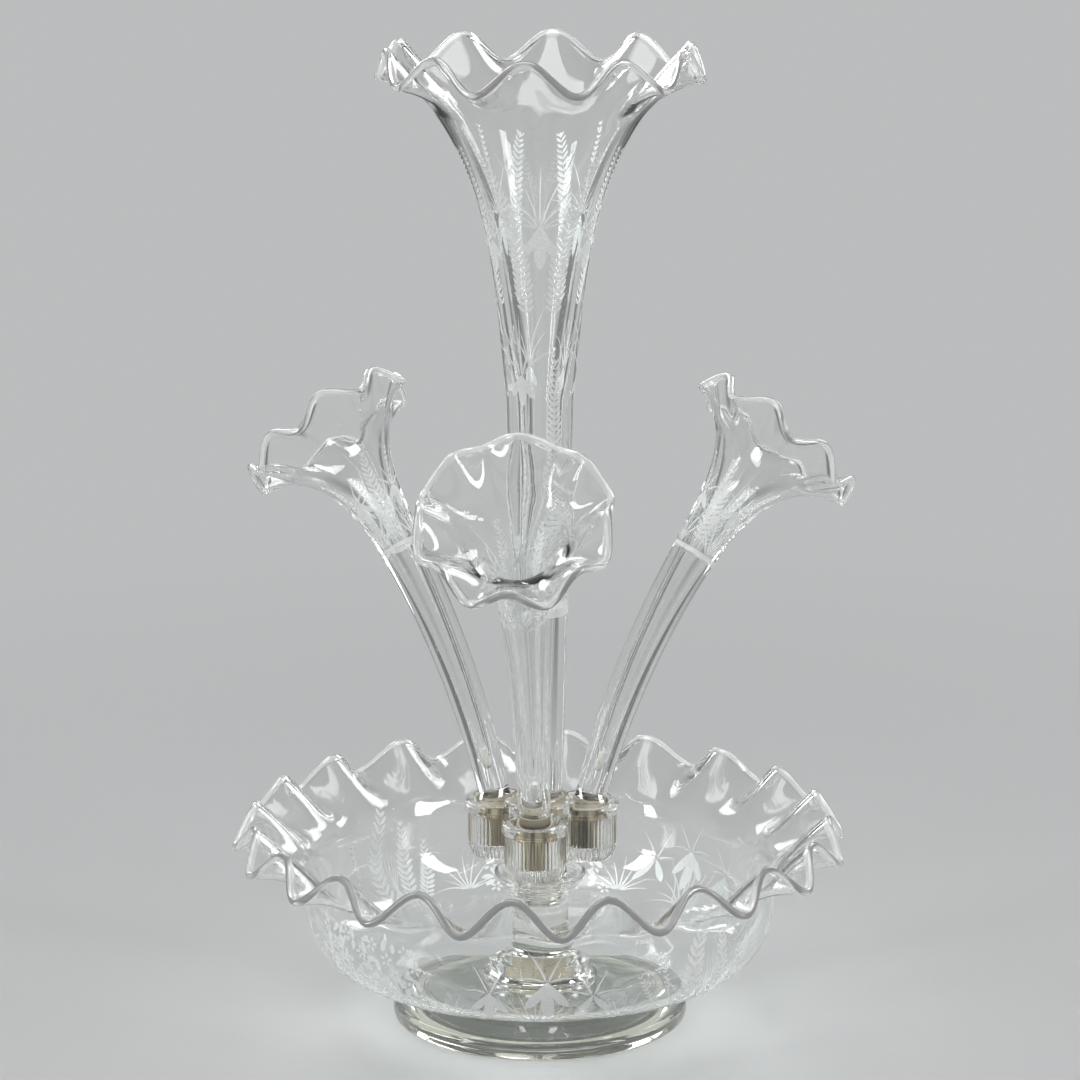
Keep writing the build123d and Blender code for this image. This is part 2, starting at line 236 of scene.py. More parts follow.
def arc(centre: tuple[float, float], radius: float, start: float, end: float, steps: int) -> Line:
    """Points of an arc.

    Args:
        centre: the arc's centre as (radius, height).
        radius: the arc's own radius.
        start: its first angle in degrees, from outwards.
        end: its last angle.
        steps: the number of chords.

    Returns:
        The points, with both ends.
    """
    angles = [radians(start + (end - start) * step / steps) for step in range(steps + 1)]
    return [(centre[0] + radius * cos(angle), centre[1] + radius * sin(angle)) for angle in angles]


# Finishes


def new_group(name: str, inputs: dict[str, float], outputs: list[str]) -> NodeTree:
    """Starts a shader node group with number sockets.

    Args:
        name: the group's name.
        inputs: each input's name and starting value.
        outputs: the outputs' names.

    Returns:
        The group, with its input and output nodes.
    """
    group = bpy.data.node_groups.new(name, "ShaderNodeTree")
    group.interface.new_socket(name="Vector", in_out="INPUT", socket_type="NodeSocketVector")
    for label, value in inputs.items():
        socket = group.interface.new_socket(name=label, in_out="INPUT", socket_type="NodeSocketFloat")
        socket.default_value = value
    for label in outputs:
        group.interface.new_socket(name=label, in_out="OUTPUT", socket_type="NodeSocketFloat")
    group.nodes.new("NodeGroupInput").name = "In"
    group.nodes.new("NodeGroupOutput").name = "Out"
    return group


def hand_made_group() -> NodeTree:
    """Group for the slow swell and fine marks that hands and moulds leave in a surface.

    Returns:
        A group that puts out a height and a mask of fine marks.
    """
    known = bpy.data.node_groups.get("hand_made_surface")
    if known is not None:
        return known
    group = new_group("hand_made_surface", {"Swell Scale": 40.0, "Mark Scale": 300.0, "Marks": 0.2}, ["Height", "Mask"])
    nodes, links = group.nodes, group.links
    swell = nodes.new("ShaderNodeTexNoise")
    swell.inputs["Detail"].default_value = 2.0
    marks = nodes.new("ShaderNodeTexNoise")
    marks.inputs["Detail"].default_value = 5.0
    marks.inputs["Roughness"].default_value = 0.65
    for noise, scale in ((swell, "Swell Scale"), (marks, "Mark Scale")):
        links.new(nodes["In"].outputs["Vector"], noise.inputs["Vector"])
        links.new(nodes["In"].outputs[scale], noise.inputs["Scale"])
    share = nodes.new("ShaderNodeMath")
    share.operation = "MULTIPLY"
    links.new(marks.outputs["Fac"], share.inputs[0])
    links.new(nodes["In"].outputs["Marks"], share.inputs[1])
    total = nodes.new("ShaderNodeMath")
    total.operation = "ADD"
    links.new(swell.outputs["Fac"], total.inputs[0])
    links.new(share.outputs[0], total.inputs[1])
    links.new(total.outputs[0], nodes["Out"].inputs["Height"])
    links.new(marks.outputs["Fac"], nodes["Out"].inputs["Mask"])
    return group


def dark_cards_group() -> NodeTree:
    """Group for dark cards stood round the studio at even turns, which give clear glass its dark lines.

    Returns:
        A group that puts out 1 where the surroundings are pale and less towards the middle of a card.
    """
    known = bpy.data.node_groups.get("dark_cards")
    if known is not None:
        return known
    group = new_group("dark_cards", {"Cards": 8.0, "Turn": 0.0, "Darkest": 0.34}, ["Pale"])
    nodes, links = group.nodes, group.links
    split = nodes.new("ShaderNodeSeparateXYZ")
    links.new(nodes["In"].outputs["Vector"], split.inputs[0])
    steps: list[Node] = []
    for operation in ("ARCTAN2", "SUBTRACT", "MULTIPLY", "COSINE"):
        node = nodes.new("ShaderNodeMath")
        node.operation = operation
        if steps:
            links.new(steps[-1].outputs[0], node.inputs[0])
        steps.append(node)
    links.new(split.outputs["Y"], steps[0].inputs[0])
    links.new(split.outputs["X"], steps[0].inputs[1])
    links.new(nodes["In"].outputs["Turn"], steps[1].inputs[1])
    links.new(nodes["In"].outputs["Cards"], steps[2].inputs[1])
    pale = nodes.new("ShaderNodeMapRange")
    pale.interpolation_type = "SMOOTHSTEP"
    pale.inputs["From Min"].default_value = -0.75
    pale.inputs["From Max"].default_value = 0.0
    links.new(steps[3].outputs[0], pale.inputs["Value"])
    links.new(nodes["In"].outputs["Darkest"], pale.inputs["To Min"])
    links.new(pale.outputs["Result"], nodes["Out"].inputs["Pale"])
    return group


class Bench:
    """A new material's node tree, with short ways to add and join its nodes."""

    def __init__(self, name: str) -> None:
        """Starts an empty material.

        Args:
            name: the material's name.
        """
        self.material = bpy.data.materials.new(name)
        self.material.use_nodes = True
        self.tree = self.material.node_tree
        self.tree.nodes.clear()
        self.output = self.add("ShaderNodeOutputMaterial")

    def add(self, kind: str, **values: float | Colour) -> Node:
        """Adds a node and sets inputs by name, with _ for a space.

        Args:
            kind: the node's type.
            values: the inputs' values.

        Returns:
            The new node.
        """
        node = self.tree.nodes.new(kind)
        for label, value in values.items():
            node.inputs[label.replace("_", " ")].default_value = value
        return node

    def join(self, source: Node, output: str | int, target: Node, socket: str | int) -> None:
        """Links an output to an input."""
        self.tree.links.new(source.outputs[output], target.inputs[socket])

    def place(self, stretch: Colour = (1.0, 1.0, 1.0)) -> Node:
        """Object coordinates, stretched along the axes.

        Args:
            stretch: the scale along X, Y and Z.

        Returns:
            The mapping node.
        """
        coordinates = self.add("ShaderNodeTexCoord")
        mapping = self.add("ShaderNodeMapping", Scale=stretch)
        self.join(coordinates, "Object", mapping, "Vector")
        return mapping

    def surface(self, vector: Node, swell: float, marks: float, share: float) -> Node:
        """The hand-made surface group with its own values.

        Args:
            vector: the node that gives the place.
            swell: scale of the slow swell, per metre.
            marks: scale of the fine marks, per metre.
            share: how much the marks add to the height.

        Returns:
            The group node.
        """
        node = self.tree.nodes.new("ShaderNodeGroup")
        node.node_tree = hand_made_group()
        node.inputs["Swell Scale"].default_value = swell
        node.inputs["Mark Scale"].default_value = marks
        node.inputs["Marks"].default_value = share
        self.join(vector, 0, node, "Vector")
        return node

    def bump(self, source: Node, output: str, distance: float) -> Node:
        """A bump from a height.

        Args:
            source: the node that gives the height.
            output: its output.
            distance: the height of 1, in mm.

        Returns:
            The bump node.
        """
        node = self.add("ShaderNodeBump", Strength=1.0, Distance=distance * MM)
        self.join(source, output, node, "Height")
        return node

    def blend(self, factor: Node, output: str | int, first: Colour, second: Colour) -> Node:
        """A mix of two colours.

        Args:
            factor: the node that gives the share of the second colour.
            output: its output.
            first: the first colour.
            second: the second colour.

        Returns:
            The mix node, whose output 2 is the colour.
        """
        node = self.add("ShaderNodeMix")
        node.data_type = "RGBA"
        node.inputs[6].default_value = (*first, 1.0)
        node.inputs[7].default_value = (*second, 1.0)
        self.tree.links.new(factor.outputs[output], node.inputs[0])
        return node

    def span(self, source: Node, output: str | int, low: float, high: float, to_low: float, to_high: float) -> Node:
        """Stretches a value from one range to another and keeps it inside.

        Args:
            source: the node that gives the value.
            output: its output.
            low: the value that becomes to_low.
            high: the value that becomes to_high.
            to_low: the new low end.
            to_high: the new high end.

        Returns:
            The range node.
        """
        node = self.tree.nodes.new("ShaderNodeMapRange")
        for index, value in enumerate((low, high, to_low, to_high), start=1):
            node.inputs[index].default_value = value
        self.join(source, output, node, "Value")
        return node


@dataclass(frozen=True)
class GlassFinish:
    """Clear glass, with the swell of its making, faint smears, and a base colour darkened where its wall is seen
    edge-on: partly the tint of the longer path through the glass, partly painted shade that draws dark outlines.
    """

    name: str
    clear: Colour
    # colour where the wall is seen edge-on: partly the tint of a longer path, partly painted shade for dark outlines
    edge: Colour
    swell: float
    depth: float
    stretch: Colour
    marks: float = 260.0
    smear: float = 0.035
    haze: float = 0.0
    coat: float = 0.0
    transmission: float = 1.0

    def material(self) -> Material:
        """Builds the glass.

        Returns:
            The material.
        """
        bench = Bench(self.name)
        surface = bench.surface(bench.place(self.stretch), self.swell, self.marks, 0.06)
        # Painted shade: the base colour turns from clear to the edge colour where the wall is seen edge-on, drawing
        # dark outlines, partly standing in for the tint of a longer path through the glass.
        weight = bench.add("ShaderNodeLayerWeight", Blend=0.5)
        rim = bench.span(weight, "Facing", 0.55, 1.0, 0.0, 1.0)
        rim.interpolation_type = "SMOOTHSTEP"
        colour = bench.blend(rim, "Result", self.clear, self.edge)
        glass = bench.add(
            "ShaderNodeBsdfPrincipled", IOR=1.5, Metallic=0.0, Coat_Weight=self.coat,
            Transmission_Weight=self.transmission,
        )
        bench.join(colour, 2, glass, "Base Color")
        smears = bench.span(surface, "Mask", 0.45, 0.75, self.haze, self.haze + self.smear)
        bench.join(smears, "Result", glass, "Roughness")
        bench.join(bench.bump(surface, "Height", self.depth), "Normal", glass, "Normal")
        light_path = bench.add("ShaderNodeLightPath")
        through = bench.add("ShaderNodeBsdfTransparent", Color=(0.9, 0.92, 0.91, 1.0))
        mix = bench.tree.nodes.new("ShaderNodeMixShader")
        bench.join(light_path, "Is Shadow Ray", mix, 0)
        bench.join(glass, "BSDF", mix, 1)
        bench.join(through, "BSDF", mix, 2)
        bench.join(mix, "Shader", bench.output, "Surface")
        return bench.material


@dataclass(frozen=True)
class FrostFinish:
    """Frosted glass of the engraving, finely grained and partly see-through."""

    name: str
    colour: Colour
    cover: float

    def material(self) -> Material:
        """Builds the frosting.

        Returns:
            The material.
        """
        bench = Bench(self.name)
        surface = bench.surface(bench.place(), 180.0, 1500.0, 0.6)
        frost = bench.add("ShaderNodeBsdfPrincipled", Roughness=0.75, IOR=1.3)
        shade = tuple(0.82 * channel for channel in self.colour)
        bench.join(bench.blend(surface, "Mask", shade, self.colour), 2, frost, "Base Color")
        cover = bench.span(surface, "Mask", 0.3, 0.7, 0.88 * self.cover, min(1.12 * self.cover, 1.0))
        bench.join(cover, "Result", frost, "Alpha")
        bench.join(bench.bump(surface, "Height", 0.05), "Normal", frost, "Normal")
        bench.join(frost, "BSDF", bench.output, "Surface")
        return bench.material


@dataclass(frozen=True)
class PlasterFinish:
    """Old plaster: beige, pitted, with dark specks, and darker with streaks below a height in mm, which on the collars
    is painted shade where the plaster sits inside the glass cups.
    """

    name: str
    light: Colour
    dark: Colour
    speck: Colour
    low_colour: Colour = (0.13, 0.11, 0.08)
    low_colour_top: float = 0.0

    def material(self) -> Material:
        """Builds the plaster.

        Returns:
            The material.
        """
        bench = Bench(self.name)
        place = bench.place()
        surface = bench.surface(place, 160.0, 900.0, 0.8)
        body = bench.blend(bench.span(surface, "Height", 0.6, 1.2, 0.0, 1.0), "Result", self.dark, self.light)
        specks = bench.add("ShaderNodeTexVoronoi", Scale=520.0)
        bench.join(place, "Vector", specks, "Vector")
        spots = bench.span(specks, "Distance", 0.10, 0.22, 1.0, 0.0)
        colour = bench.add("ShaderNodeMix")
        colour.data_type = "RGBA"
        colour.inputs[7].default_value = (*self.speck, 1.0)
        bench.join(spots, "Result", colour, 0)
        bench.join(body, 2, colour, 6)
        split = bench.tree.nodes.new("ShaderNodeSeparateXYZ")
        bench.join(place, "Vector", split, 0)
        # Darker with streaks below the given height: on the collars, painted shade for the plaster inside the glass
        # cups.
        below_mask = bench.span(split, "Z", (self.low_colour_top - 1.2) * MM, self.low_colour_top * MM, 0.95, 0.0)
        streak_noise = bench.surface(bench.place((1.0, 1.0, 0.05)), 420.0, 900.0, 0.3)
        streaks = bench.span(streak_noise, "Height", 0.52, 0.78, 0.0, 1.0)
        pale_streak = tuple(3.4 * channel for channel in self.low_colour)
        dark_streak = tuple(0.45 * channel for channel in self.low_colour)
        low_colour = bench.blend(streaks, "Result", dark_streak, pale_streak)
        darkened_below = bench.add("ShaderNodeMix")
        darkened_below.data_type = "RGBA"
        bench.join(low_colour, 2, darkened_below, 7)
        bench.join(below_mask, "Result", darkened_below, 0)
        bench.join(colour, 2, darkened_below, 6)
        plaster = bench.add("ShaderNodeBsdfPrincipled", IOR=1.4)
        bench.join(darkened_below, 2, plaster, "Base Color")
        bench.join(bench.span(surface, "Mask", 0.3, 0.7, 0.8, 0.97), "Result", plaster, "Roughness")
        bench.join(bench.bump(surface, "Height", 0.35), "Normal", plaster, "Normal")
        bench.join(plaster, "BSDF", bench.output, "Surface")
        return bench.material


@dataclass(frozen=True)
class FloorFinish:
    """Matt studio paper, which keeps the object's shadow near it and fades into the even surroundings."""

    name: str
    colour: Colour
    surroundings: Colour
    card_turn: float
    near: float = 0.3
    far: float = 1.1

    def material(self) -> Material:
        """Builds the paper.

        Returns:
            The material.
        """
        bench = Bench(self.name)
        place = bench.place()
        surface = bench.surface(place, 3.0, 400.0, 0.3)
        shade = tuple(0.97 * channel for channel in self.colour)
        paper = bench.add("ShaderNodeBsdfPrincipled", Roughness=0.85, IOR=1.3)
        bench.join(bench.blend(surface, "Mask", shade, self.colour), 2, paper, "Base Color")
        bench.join(bench.bump(surface, "Mask", 0.05), "Normal", paper, "Normal")
        distance = bench.tree.nodes.new("ShaderNodeVectorMath")
        distance.operation = "LENGTH"
        bench.join(place, "Vector", distance, 0)
        fade = bench.span(distance, "Value", self.near, self.far, 0.0, 1.0)
        fade.interpolation_type = "SMOOTHSTEP"
        cards = bench.tree.nodes.new("ShaderNodeGroup")
        cards.node_tree = dark_cards_group()
        cards.inputs["Turn"].default_value = self.card_turn
        bench.join(place, "Vector", cards, "Vector")
        light_path = bench.add("ShaderNodeLightPath")
        level = bench.tree.nodes.new("ShaderNodeMath")
        level.operation = "MAXIMUM"
        bench.join(light_path, "Is Camera Ray", level, 0)
        bench.join(cards, "Pale", level, 1)
        even = bench.add("ShaderNodeEmission", Color=(*self.surroundings, 1.0))
        bench.join(level, "Value", even, "Strength")
        mix = bench.tree.nodes.new("ShaderNodeMixShader")
        bench.join(fade, "Result", mix, 0)
        bench.join(paper, "BSDF", mix, 1)
        bench.join(even, "Emission", mix, 2)
        bench.join(mix, "Shader", bench.output, "Surface")
        return bench.material


@dataclass
class Finishes:
    """Every finish of the object, built once."""

    blown: Material = field(init=False)
    edge: Material = field(init=False)
    pressed: Material = field(init=False)
    foot: Material = field(init=False)
    frost: Material = field(init=False)
    plaster: Material = field(init=False)
    centre_plaster: Material = field(init=False)
    side_plaster: Material = field(init=False)
    deposit: Material = field(init=False)

    def __post_init__(self) -> None:
        """Builds the materials."""
        clear = (0.985, 0.992, 0.988)
        # The second colour of each glass is its edge-on colour, partly painted shade for dark outlines.
        self.blown = GlassFinish("blown_glass", clear, (0.93, 0.945, 0.945), 24.0, 0.025, (1.0, 1.0, 0.3)).material()
        # The mouths' edge glass is one third opaque white under a clear coat: painted light for the glow of light
        # carried along the wall to its edge.
        self.edge = GlassFinish(
            "edge_glass_painted_glow", (1.0, 1.0, 1.0), (1.0, 1.0, 1.0), 60.0, 0.04, (1.0, 1.0, 1.0),
            haze=0.12, coat=1.0, transmission=0.66,
        ).material()
        self.pressed = GlassFinish(
            "pressed_glass", (0.97, 0.975, 0.955), (0.88, 0.89, 0.86), 120.0, 0.04, (1.0, 1.0, 1.0), smear=0.06
        ).material()
        self.foot = GlassFinish(
            "foot_glass", (0.91, 0.895, 0.82), (0.80, 0.79, 0.70), 60.0, 0.06, (1.0, 1.0, 1.0), smear=0.07
        ).material()
        self.frost = FrostFinish("frosted_engraving", (0.94, 0.95, 0.95), 0.86).material()
        beige, shade, speck = (0.56, 0.51, 0.42), (0.40, 0.35, 0.27), (0.10, 0.08, 0.05)
        self.plaster = PlasterFinish("old_plaster", beige, shade, speck).material()
        # The collars are painted darker below their cups' mouths: painted shade where the plaster sits inside the
        # glass.
        self.centre_plaster = PlasterFinish("plaster_centre_painted_shade_below", beige, shade, speck, low_colour_top=112.2).material()
        self.side_plaster = PlasterFinish("plaster_side_painted_shade_below", beige, shade, speck, low_colour_top=107.0).material()
        self.deposit = PlasterFinish(
            "dried_deposit", (0.72, 0.72, 0.69), (0.55, 0.54, 0.5), (0.3, 0.2, 0.1), (0.22, 0.12, 0.05), 122.5
        ).material()


# Blown walls with waved edges


@dataclass(frozen=True)
class Waves:
    """Even waves that grow from a smooth wall to its edge."""

    count: int
    swing: float  # mm that a crest stands above the middle
    lean: float  # degrees that crests lean inwards
    crest: float  # degrees from +X to one of the crests
    start: float  # radius where the waves begin
    full: float  # radius where they have their full swing
    growth: float = 1.25

    def at(self, radius: float, angle: float) -> float:
        """How far the wall swings at a radius in mm and an angle in radians."""
        share = min(max((radius - self.start) / (self.full - self.start), 0.0), 1.15)
        return self.swing * share**self.growth * cos(self.count * (angle - radians(self.crest)))


@dataclass(frozen=True)
class Station:
    """A point of a wall's section: how far along the outer line, how deep in, and how far past the edge."""

    along: float
    depth: float = 0.0
    past: float = 0.0


@dataclass
class BlownWall:
    """A spun wall with waves at its mouth, and perhaps a bend along its length."""

    outline: Line
    waves: Waves
    bend: Callable[[Vector], Vector] | None = None
    lengths: list[float] = field(init=False)

    def __post_init__(self) -> None:
        """Measures the outer line."""
        self.lengths = [0.0]
        for (radius, height), (next_radius, next_height) in zip(self.outline, self.outline[1:]):
            self.lengths.append(self.lengths[-1] + hypot(next_radius - radius, next_height - height))

    @property
    def length(self) -> float:
        """Length of the outer line."""
        return self.lengths[-1]

    def on_line(self, along: float) -> tuple[float, float]:
        """Radius and height at a length along the outer line.

        Args:
            along: the length from the line's start.

        Returns:
            The radius and the height.
        """
        low, high = 0, len(self.lengths) - 1
        while high - low > 1:
            middle = (low + high) // 2
            if self.lengths[middle] <= along:
                low = middle
            else:
                high = middle
        share = (along - self.lengths[low]) / (self.lengths[high] - self.lengths[low])
        (radius, height), (next_radius, next_height) = self.outline[low], self.outline[high]
        return radius + share * (next_radius - radius), height + share * (next_height - height)

    def along_at(self, height: float) -> float:
        """Length along the outer line where it last passes a height.

        Args:
            height: the height looked for.

        Returns:
            The length from the line's start.
        """
        best = 0.0
        for index in range(1, len(self.outline)):
            low, high = self.outline[index - 1][1], self.outline[index][1]
            if low <= height <= high and high > low:
                share = (height - low) / (high - low)
                best = self.lengths[index - 1] + share * (self.lengths[index] - self.lengths[index - 1])
        return best

    def outside(self, along: float, angle: float, waved: bool = True) -> Vector:
        """Point of the outer side.

        Args:
            along: the length along the outer line.
            angle: the turn from +X in radians.
            waved: whether the waves are on.

        Returns:
            The point in mm, before any bend.
        """
        radius, height = self.on_line(along)
        if waved:
            swing = self.waves.at(radius, angle)
            radius -= swing * sin(radians(self.waves.lean))
            height += swing * cos(radians(self.waves.lean))
        return Vector((radius * cos(angle), radius * sin(angle), height))

    def place(self, station: Station, angle: float, waved: bool = True) -> Vector:
        """Point of the section at an angle.

        Args:
            station: the section's point.
            angle: the turn from +X in radians.
            waved: whether the waves and the bend are on.

        Returns:
            The point in mm.
        """
        step = 0.4
        middle = min(max(station.along, step), self.length - step)
        tangent = self.outside(middle + step, angle, waved) - self.outside(middle - step, angle, waved)
        tangent.normalize()
        point = self.outside(station.along, angle, waved)
        turn = 0.004
        across = self.outside(station.along, angle + turn, waved) - self.outside(station.along, angle - turn, waved)
        if across.length < 1e-6:
            across = Vector((-sin(angle), cos(angle), 0.0))
        normal = across.normalized().cross(tangent)
        point += tangent * station.past - normal * station.depth
        if waved and self.bend is not None:
            point = self.bend(point)
        return point

    def build(self, name: str, section: list[Station], steps: int) -> Object:
        """Spins the smooth section, then moves its points into the waves and the bend.

        Args:
            name: the new piece's name.
            section: the closed section, from the axis to the axis.
            steps: the number of faces round the wall.

        Returns:
            The piece.
        """
        flat = [self.place(station, 0.0, waved=False) for station in section]
        line = [(max(point.x, 0.0), point.z) for point in flat]
        line[0] = (0.0, line[0][1])
        line[-1] = (0.0, line[-1][1])
        piece = spun(name, line, steps)
        tree = KDTree(len(line))
        for index, (radius, height) in enumerate(line):
            tree.insert((radius, 0.0, height), index)
        tree.balance()
        marks = piece.data.attributes.new("station", "INT", "POINT")
        for vertex in piece.data.vertices:
            radius = hypot(vertex.co.x, vertex.co.y) / MM
            index = tree.find((radius, 0.0, vertex.co.z / MM))[1]
            marks.data[vertex.index].value = index
            if line[index][0] < 1e-4:
                point = Vector((0.0, 0.0, line[index][1]))
                if self.bend is not None:
                    point = self.bend(point)
            else:
                point = self.place(section[index], atan2(vertex.co.y, vertex.co.x))
            vertex.co = point * MM
        piece.data.update()
        close_skin(piece)
        polish(piece, 50.0)
        return piece

    def glaze(self, piece: Object, section: list[Station], wall: Material, edge: Material) -> None:
        """Gives the wall its glass, and the rounded edge of its mouth its own, which is partly opaque white to paint a
        glow along the edge.

        Args:
            piece: the built wall.
            section: the section it was built from.
            wall: the wall's glass.
            edge: the edge's glass.
        """
        piece.data.materials.append(wall)
        piece.data.materials.append(edge)
        marks = piece.data.attributes["station"].data
        on_edge = [station.past > 0 for station in section]
        for face in piece.data.polygons:
            if any(on_edge[marks[vertex].value] for vertex in face.vertices):
                face.material_index = 1

    def mouth(self, wall: float, bead: float) -> list[Station]:
        """Rounded edge of the mouth, from the outer side to the inner side.

        Args:
            wall: the wall's thickness there.
            bead: how much the edge is swollen on each side.

        Returns:
            The edge's stations.
        """
        radius = wall / 2 + bead
        angles = [pi * step / 8 for step in range(9)]
        return [Station(self.length, wall / 2 - radius * cos(angle), radius * sin(angle)) for angle in angles]


def spread(start: float, end: float, step: float) -> list[float]:
    """Even steps from a start to an end, both kept.

    Args:
        start: the first value.
        end: the last value.
        step: about how far apart they lie.

    Returns:
        The values.
    """
    count = max(int(abs(end - start) / step), 1)
    return [start + (end - start) * index / count for index in range(count + 1)]


# Engraving


class Leaf(Enum):
    """Shapes that the engraver's wheel cuts."""

    OVAL = "oval"
    SPEAR = "spear"
    BLADE = "blade"
    DOT = "dot"

    def half_width(self, share: float) -> float:
        """Half the width at a share of the length, for a leaf 1 long and 1 wide.

        Args:
            share: 0 at the stalk, 1 at the tip.

        Returns:
            Half the width.
        """
        if self is Leaf.OVAL:
            return 0.5 * sin(pi * share) ** 0.65
        if self is Leaf.SPEAR:
            return 1.66 * share**1.1 * (1 - share) ** 0.7
        if self is Leaf.BLADE:
            return 0.5 * min(1.0, 8 * share) * (1 - share) ** 0.7
        return sqrt(max(share * (1 - share), 0.0))


@dataclass
class Engraving:
    """Strokes cut into one wall, drawn flat and then laid on it."""

    wall: BlownWall
    seed: int
    middle: float = 0.0  # turn of the spray that is being cut, in radians from +X
    chance: random.Random = field(init=False)
    stamps: dict[Leaf, Object] = field(init=False)
    strokes: list[Object] = field(init=False)

    def __post_init__(self) -> None:
        """Starts the pattern and models one leaf of each shape."""
        self.chance = random.Random(self.seed)
        self.stamps = {leaf: self.stamp(leaf) for leaf in Leaf}
        self.strokes = []

    def stamp(self, leaf: Leaf) -> Object:
        """Models one leaf, 1 mm long and wide, along +X.

        Args:
            leaf: the leaf's shape.

        Returns:
            The flat leaf.
        """
        clear_selection()
        rows = {Leaf.BLADE: 14, Leaf.DOT: 6}.get(leaf, 9)
        bpy.ops.mesh.primitive_grid_add(x_subdivisions=rows, y_subdivisions=2, size=1, location=(0.5, 0, 0))
        piece = bpy.context.object
        bpy.ops.object.transform_apply(location=True)
        for vertex in piece.data.vertices:
            vertex.co.y *= 2 * leaf.half_width(min(max(vertex.co.x, 0.0), 1.0))
        close_skin(piece, 1.0)
        return piece

    def stroke(self, leaf: Leaf, at: Vector, heading: float, length: float, width: float, turn: float = 0.0) -> Vector:
        """Cuts one leaf.

        Args:
            leaf: its shape.
            at: where it starts, as (across, along) in mm.
            heading: its direction there, in radians from across.
            length: its length.
            width: its width.
            turn: how far it bends over its length, in radians.

        Returns:
            Where its tip is.
        """
        copy = self.stamps[leaf].copy()
        copy.data = self.stamps[leaf].data.copy()
        bpy.context.collection.objects.link(copy)
        lift = 0.03 + 0.004 * (len(self.strokes) % 12)
        for vertex in copy.data.vertices:
            flat = self.bent(at, heading, length, turn, vertex.co.x, vertex.co.y * width)
            vertex.co = self.on_wall(flat, lift)
        self.strokes.append(copy)
        return self.bent(at, heading, length, turn, 1.0, 0.0)

    def on_wall(self, flat: Vector, lift: float) -> Vector:
        """Lays a flat point on the wall, measured from the middle of the spray.

        Args:
            flat: the point as (across, along) in mm.
            lift: how far it stands off the wall, in mm.

        Returns:
            The point in metres.
        """
        along = min(max(flat.y, 1.0), self.wall.length - 1.0)
        turn = self.middle + flat.x / self.wall.on_line(along)[0]
        return self.wall.place(Station(along, -lift), turn) * MM

    @staticmethod
    def bent(at: Vector, heading: float, length: float, turn: float, share: float, aside: float) -> Vector:
        """Point beside a bent centre line.

        Args:
            at: the line's start.
            heading: its direction there.
            length: its length.
            turn: its whole turn.
            share: the share of the length.
            aside: the distance to the left of the line.

        Returns:
            The point.
        """
        angle = heading + turn * share
        if abs(turn) < 1e-4:
            line = Vector((cos(heading), sin(heading))) * length * share
        else:
            radius = length / turn
            line = Vector((sin(angle) - sin(heading), cos(heading) - cos(angle))) * radius
        return at + line + Vector((-sin(angle), cos(angle))) * aside

    def frond(self, at: Vector, heading: float, length: float, turn: float, leaflet: float) -> None:
        """A fern frond: a fine stalk with pairs of oval leaflets.

        Args:
            at: its foot.
            heading: its direction there.
            length: its length.
            turn: its bend.
            leaflet: the longest leaflet.
        """
        self.stroke(Leaf.BLADE, at, heading, length, 0.8, turn)
        pairs = max(int(length / (leaflet * 0.5)), 4)
        for index in range(pairs):
            share = 0.1 + 0.88 * index / (pairs - 1)
            size = leaflet * (0.35 + 0.65 * sin(pi * min(share * 0.75 + 0.2, 1.0)))
            foot = self.bent(at, heading, length, turn, share, 0.0)
            for way in (1, -1):
                angle = heading + turn * share + way * radians(58 - 18 * share)
                jitter = self.chance.uniform(0.9, 1.08)
                self.stroke(Leaf.OVAL, foot, angle, size * jitter, size * 0.3, -way * 0.25)
        self.stroke(Leaf.OVAL, self.bent(at, heading, length, turn, 0.97, 0.0), heading + turn, leaflet * 0.5, 1.1)

    def grass(self, at: Vector, heading: float, length: float, turn: float, width: float = 1.2) -> None:
        """A long grass blade."""
        self.stroke(Leaf.BLADE, at, heading, length, width, turn)

    def tuft(self, at: Vector, blades: int, length: float, opening: float) -> None:
        """Grass blades that fan out of one point.

        Args:
            at: their foot.
            blades: how many.
            length: the longest.
            opening: the fan's half angle in radians.
        """
        for index in range(blades):
            share = index / max(blades - 1, 1) * 2 - 1
            reach = length * self.chance.uniform(0.65, 1.0) * (1 - 0.25 * abs(share))
            start = at + Vector((share * 1.5, 0.0))
            self.grass(start, pi / 2 - share * opening, reach, -share * self.chance.uniform(0.35, 1.0))

    def spears(self, at: Vector, heading: float, size: float, leaves: int, opening: float) -> None:
        """Broad spear leaves that hang from one point.

        Args:
            at: the point.
            heading: the middle leaf's direction.
            size: the longest leaf.
            leaves: how many.
            opening: the fan's half angle in radians.
        """
        for index in range(leaves):
            share = index / max(leaves - 1, 1) * 2 - 1
            reach = size * (1 - 0.22 * abs(share)) * self.chance.uniform(0.92, 1.05)
            self.stroke(Leaf.SPEAR, at, heading + share * opening, reach, reach * 0.27, share * 0.2)

    def ear(self, at: Vector, heading: float, length: float, turn: float) -> None:
        """An ear of grass: a stalk with seeds on both sides of its upper half.

        Args:
            at: its foot.
            heading: its direction there.
            length: its length.
            turn: its bend.
        """
        self.stroke(Leaf.BLADE, at, heading, length, 0.7, turn)
        for index in range(7):
            share = 0.56 + 0.07 * index
            foot = self.bent(at, heading, length, turn, share, 0.0)
            for way in (1, -1):
                self.stroke(Leaf.OVAL, foot, heading + turn * share + way * 0.6, 3.2 - 0.12 * index, 1.0)

    def flower(self, at: Vector, size: float) -> None:
        """A small flower of five petals and an eye.

        Args:
            at: its middle.
            size: the length of a petal.
        """
        first = self.chance.uniform(0, 1)
        for index in range(5):
            angle = first + index * 2 * pi / 5
            self.stroke(Leaf.OVAL, at + Vector((cos(angle), sin(angle))) * size * 0.3, angle, size, size * 0.55)

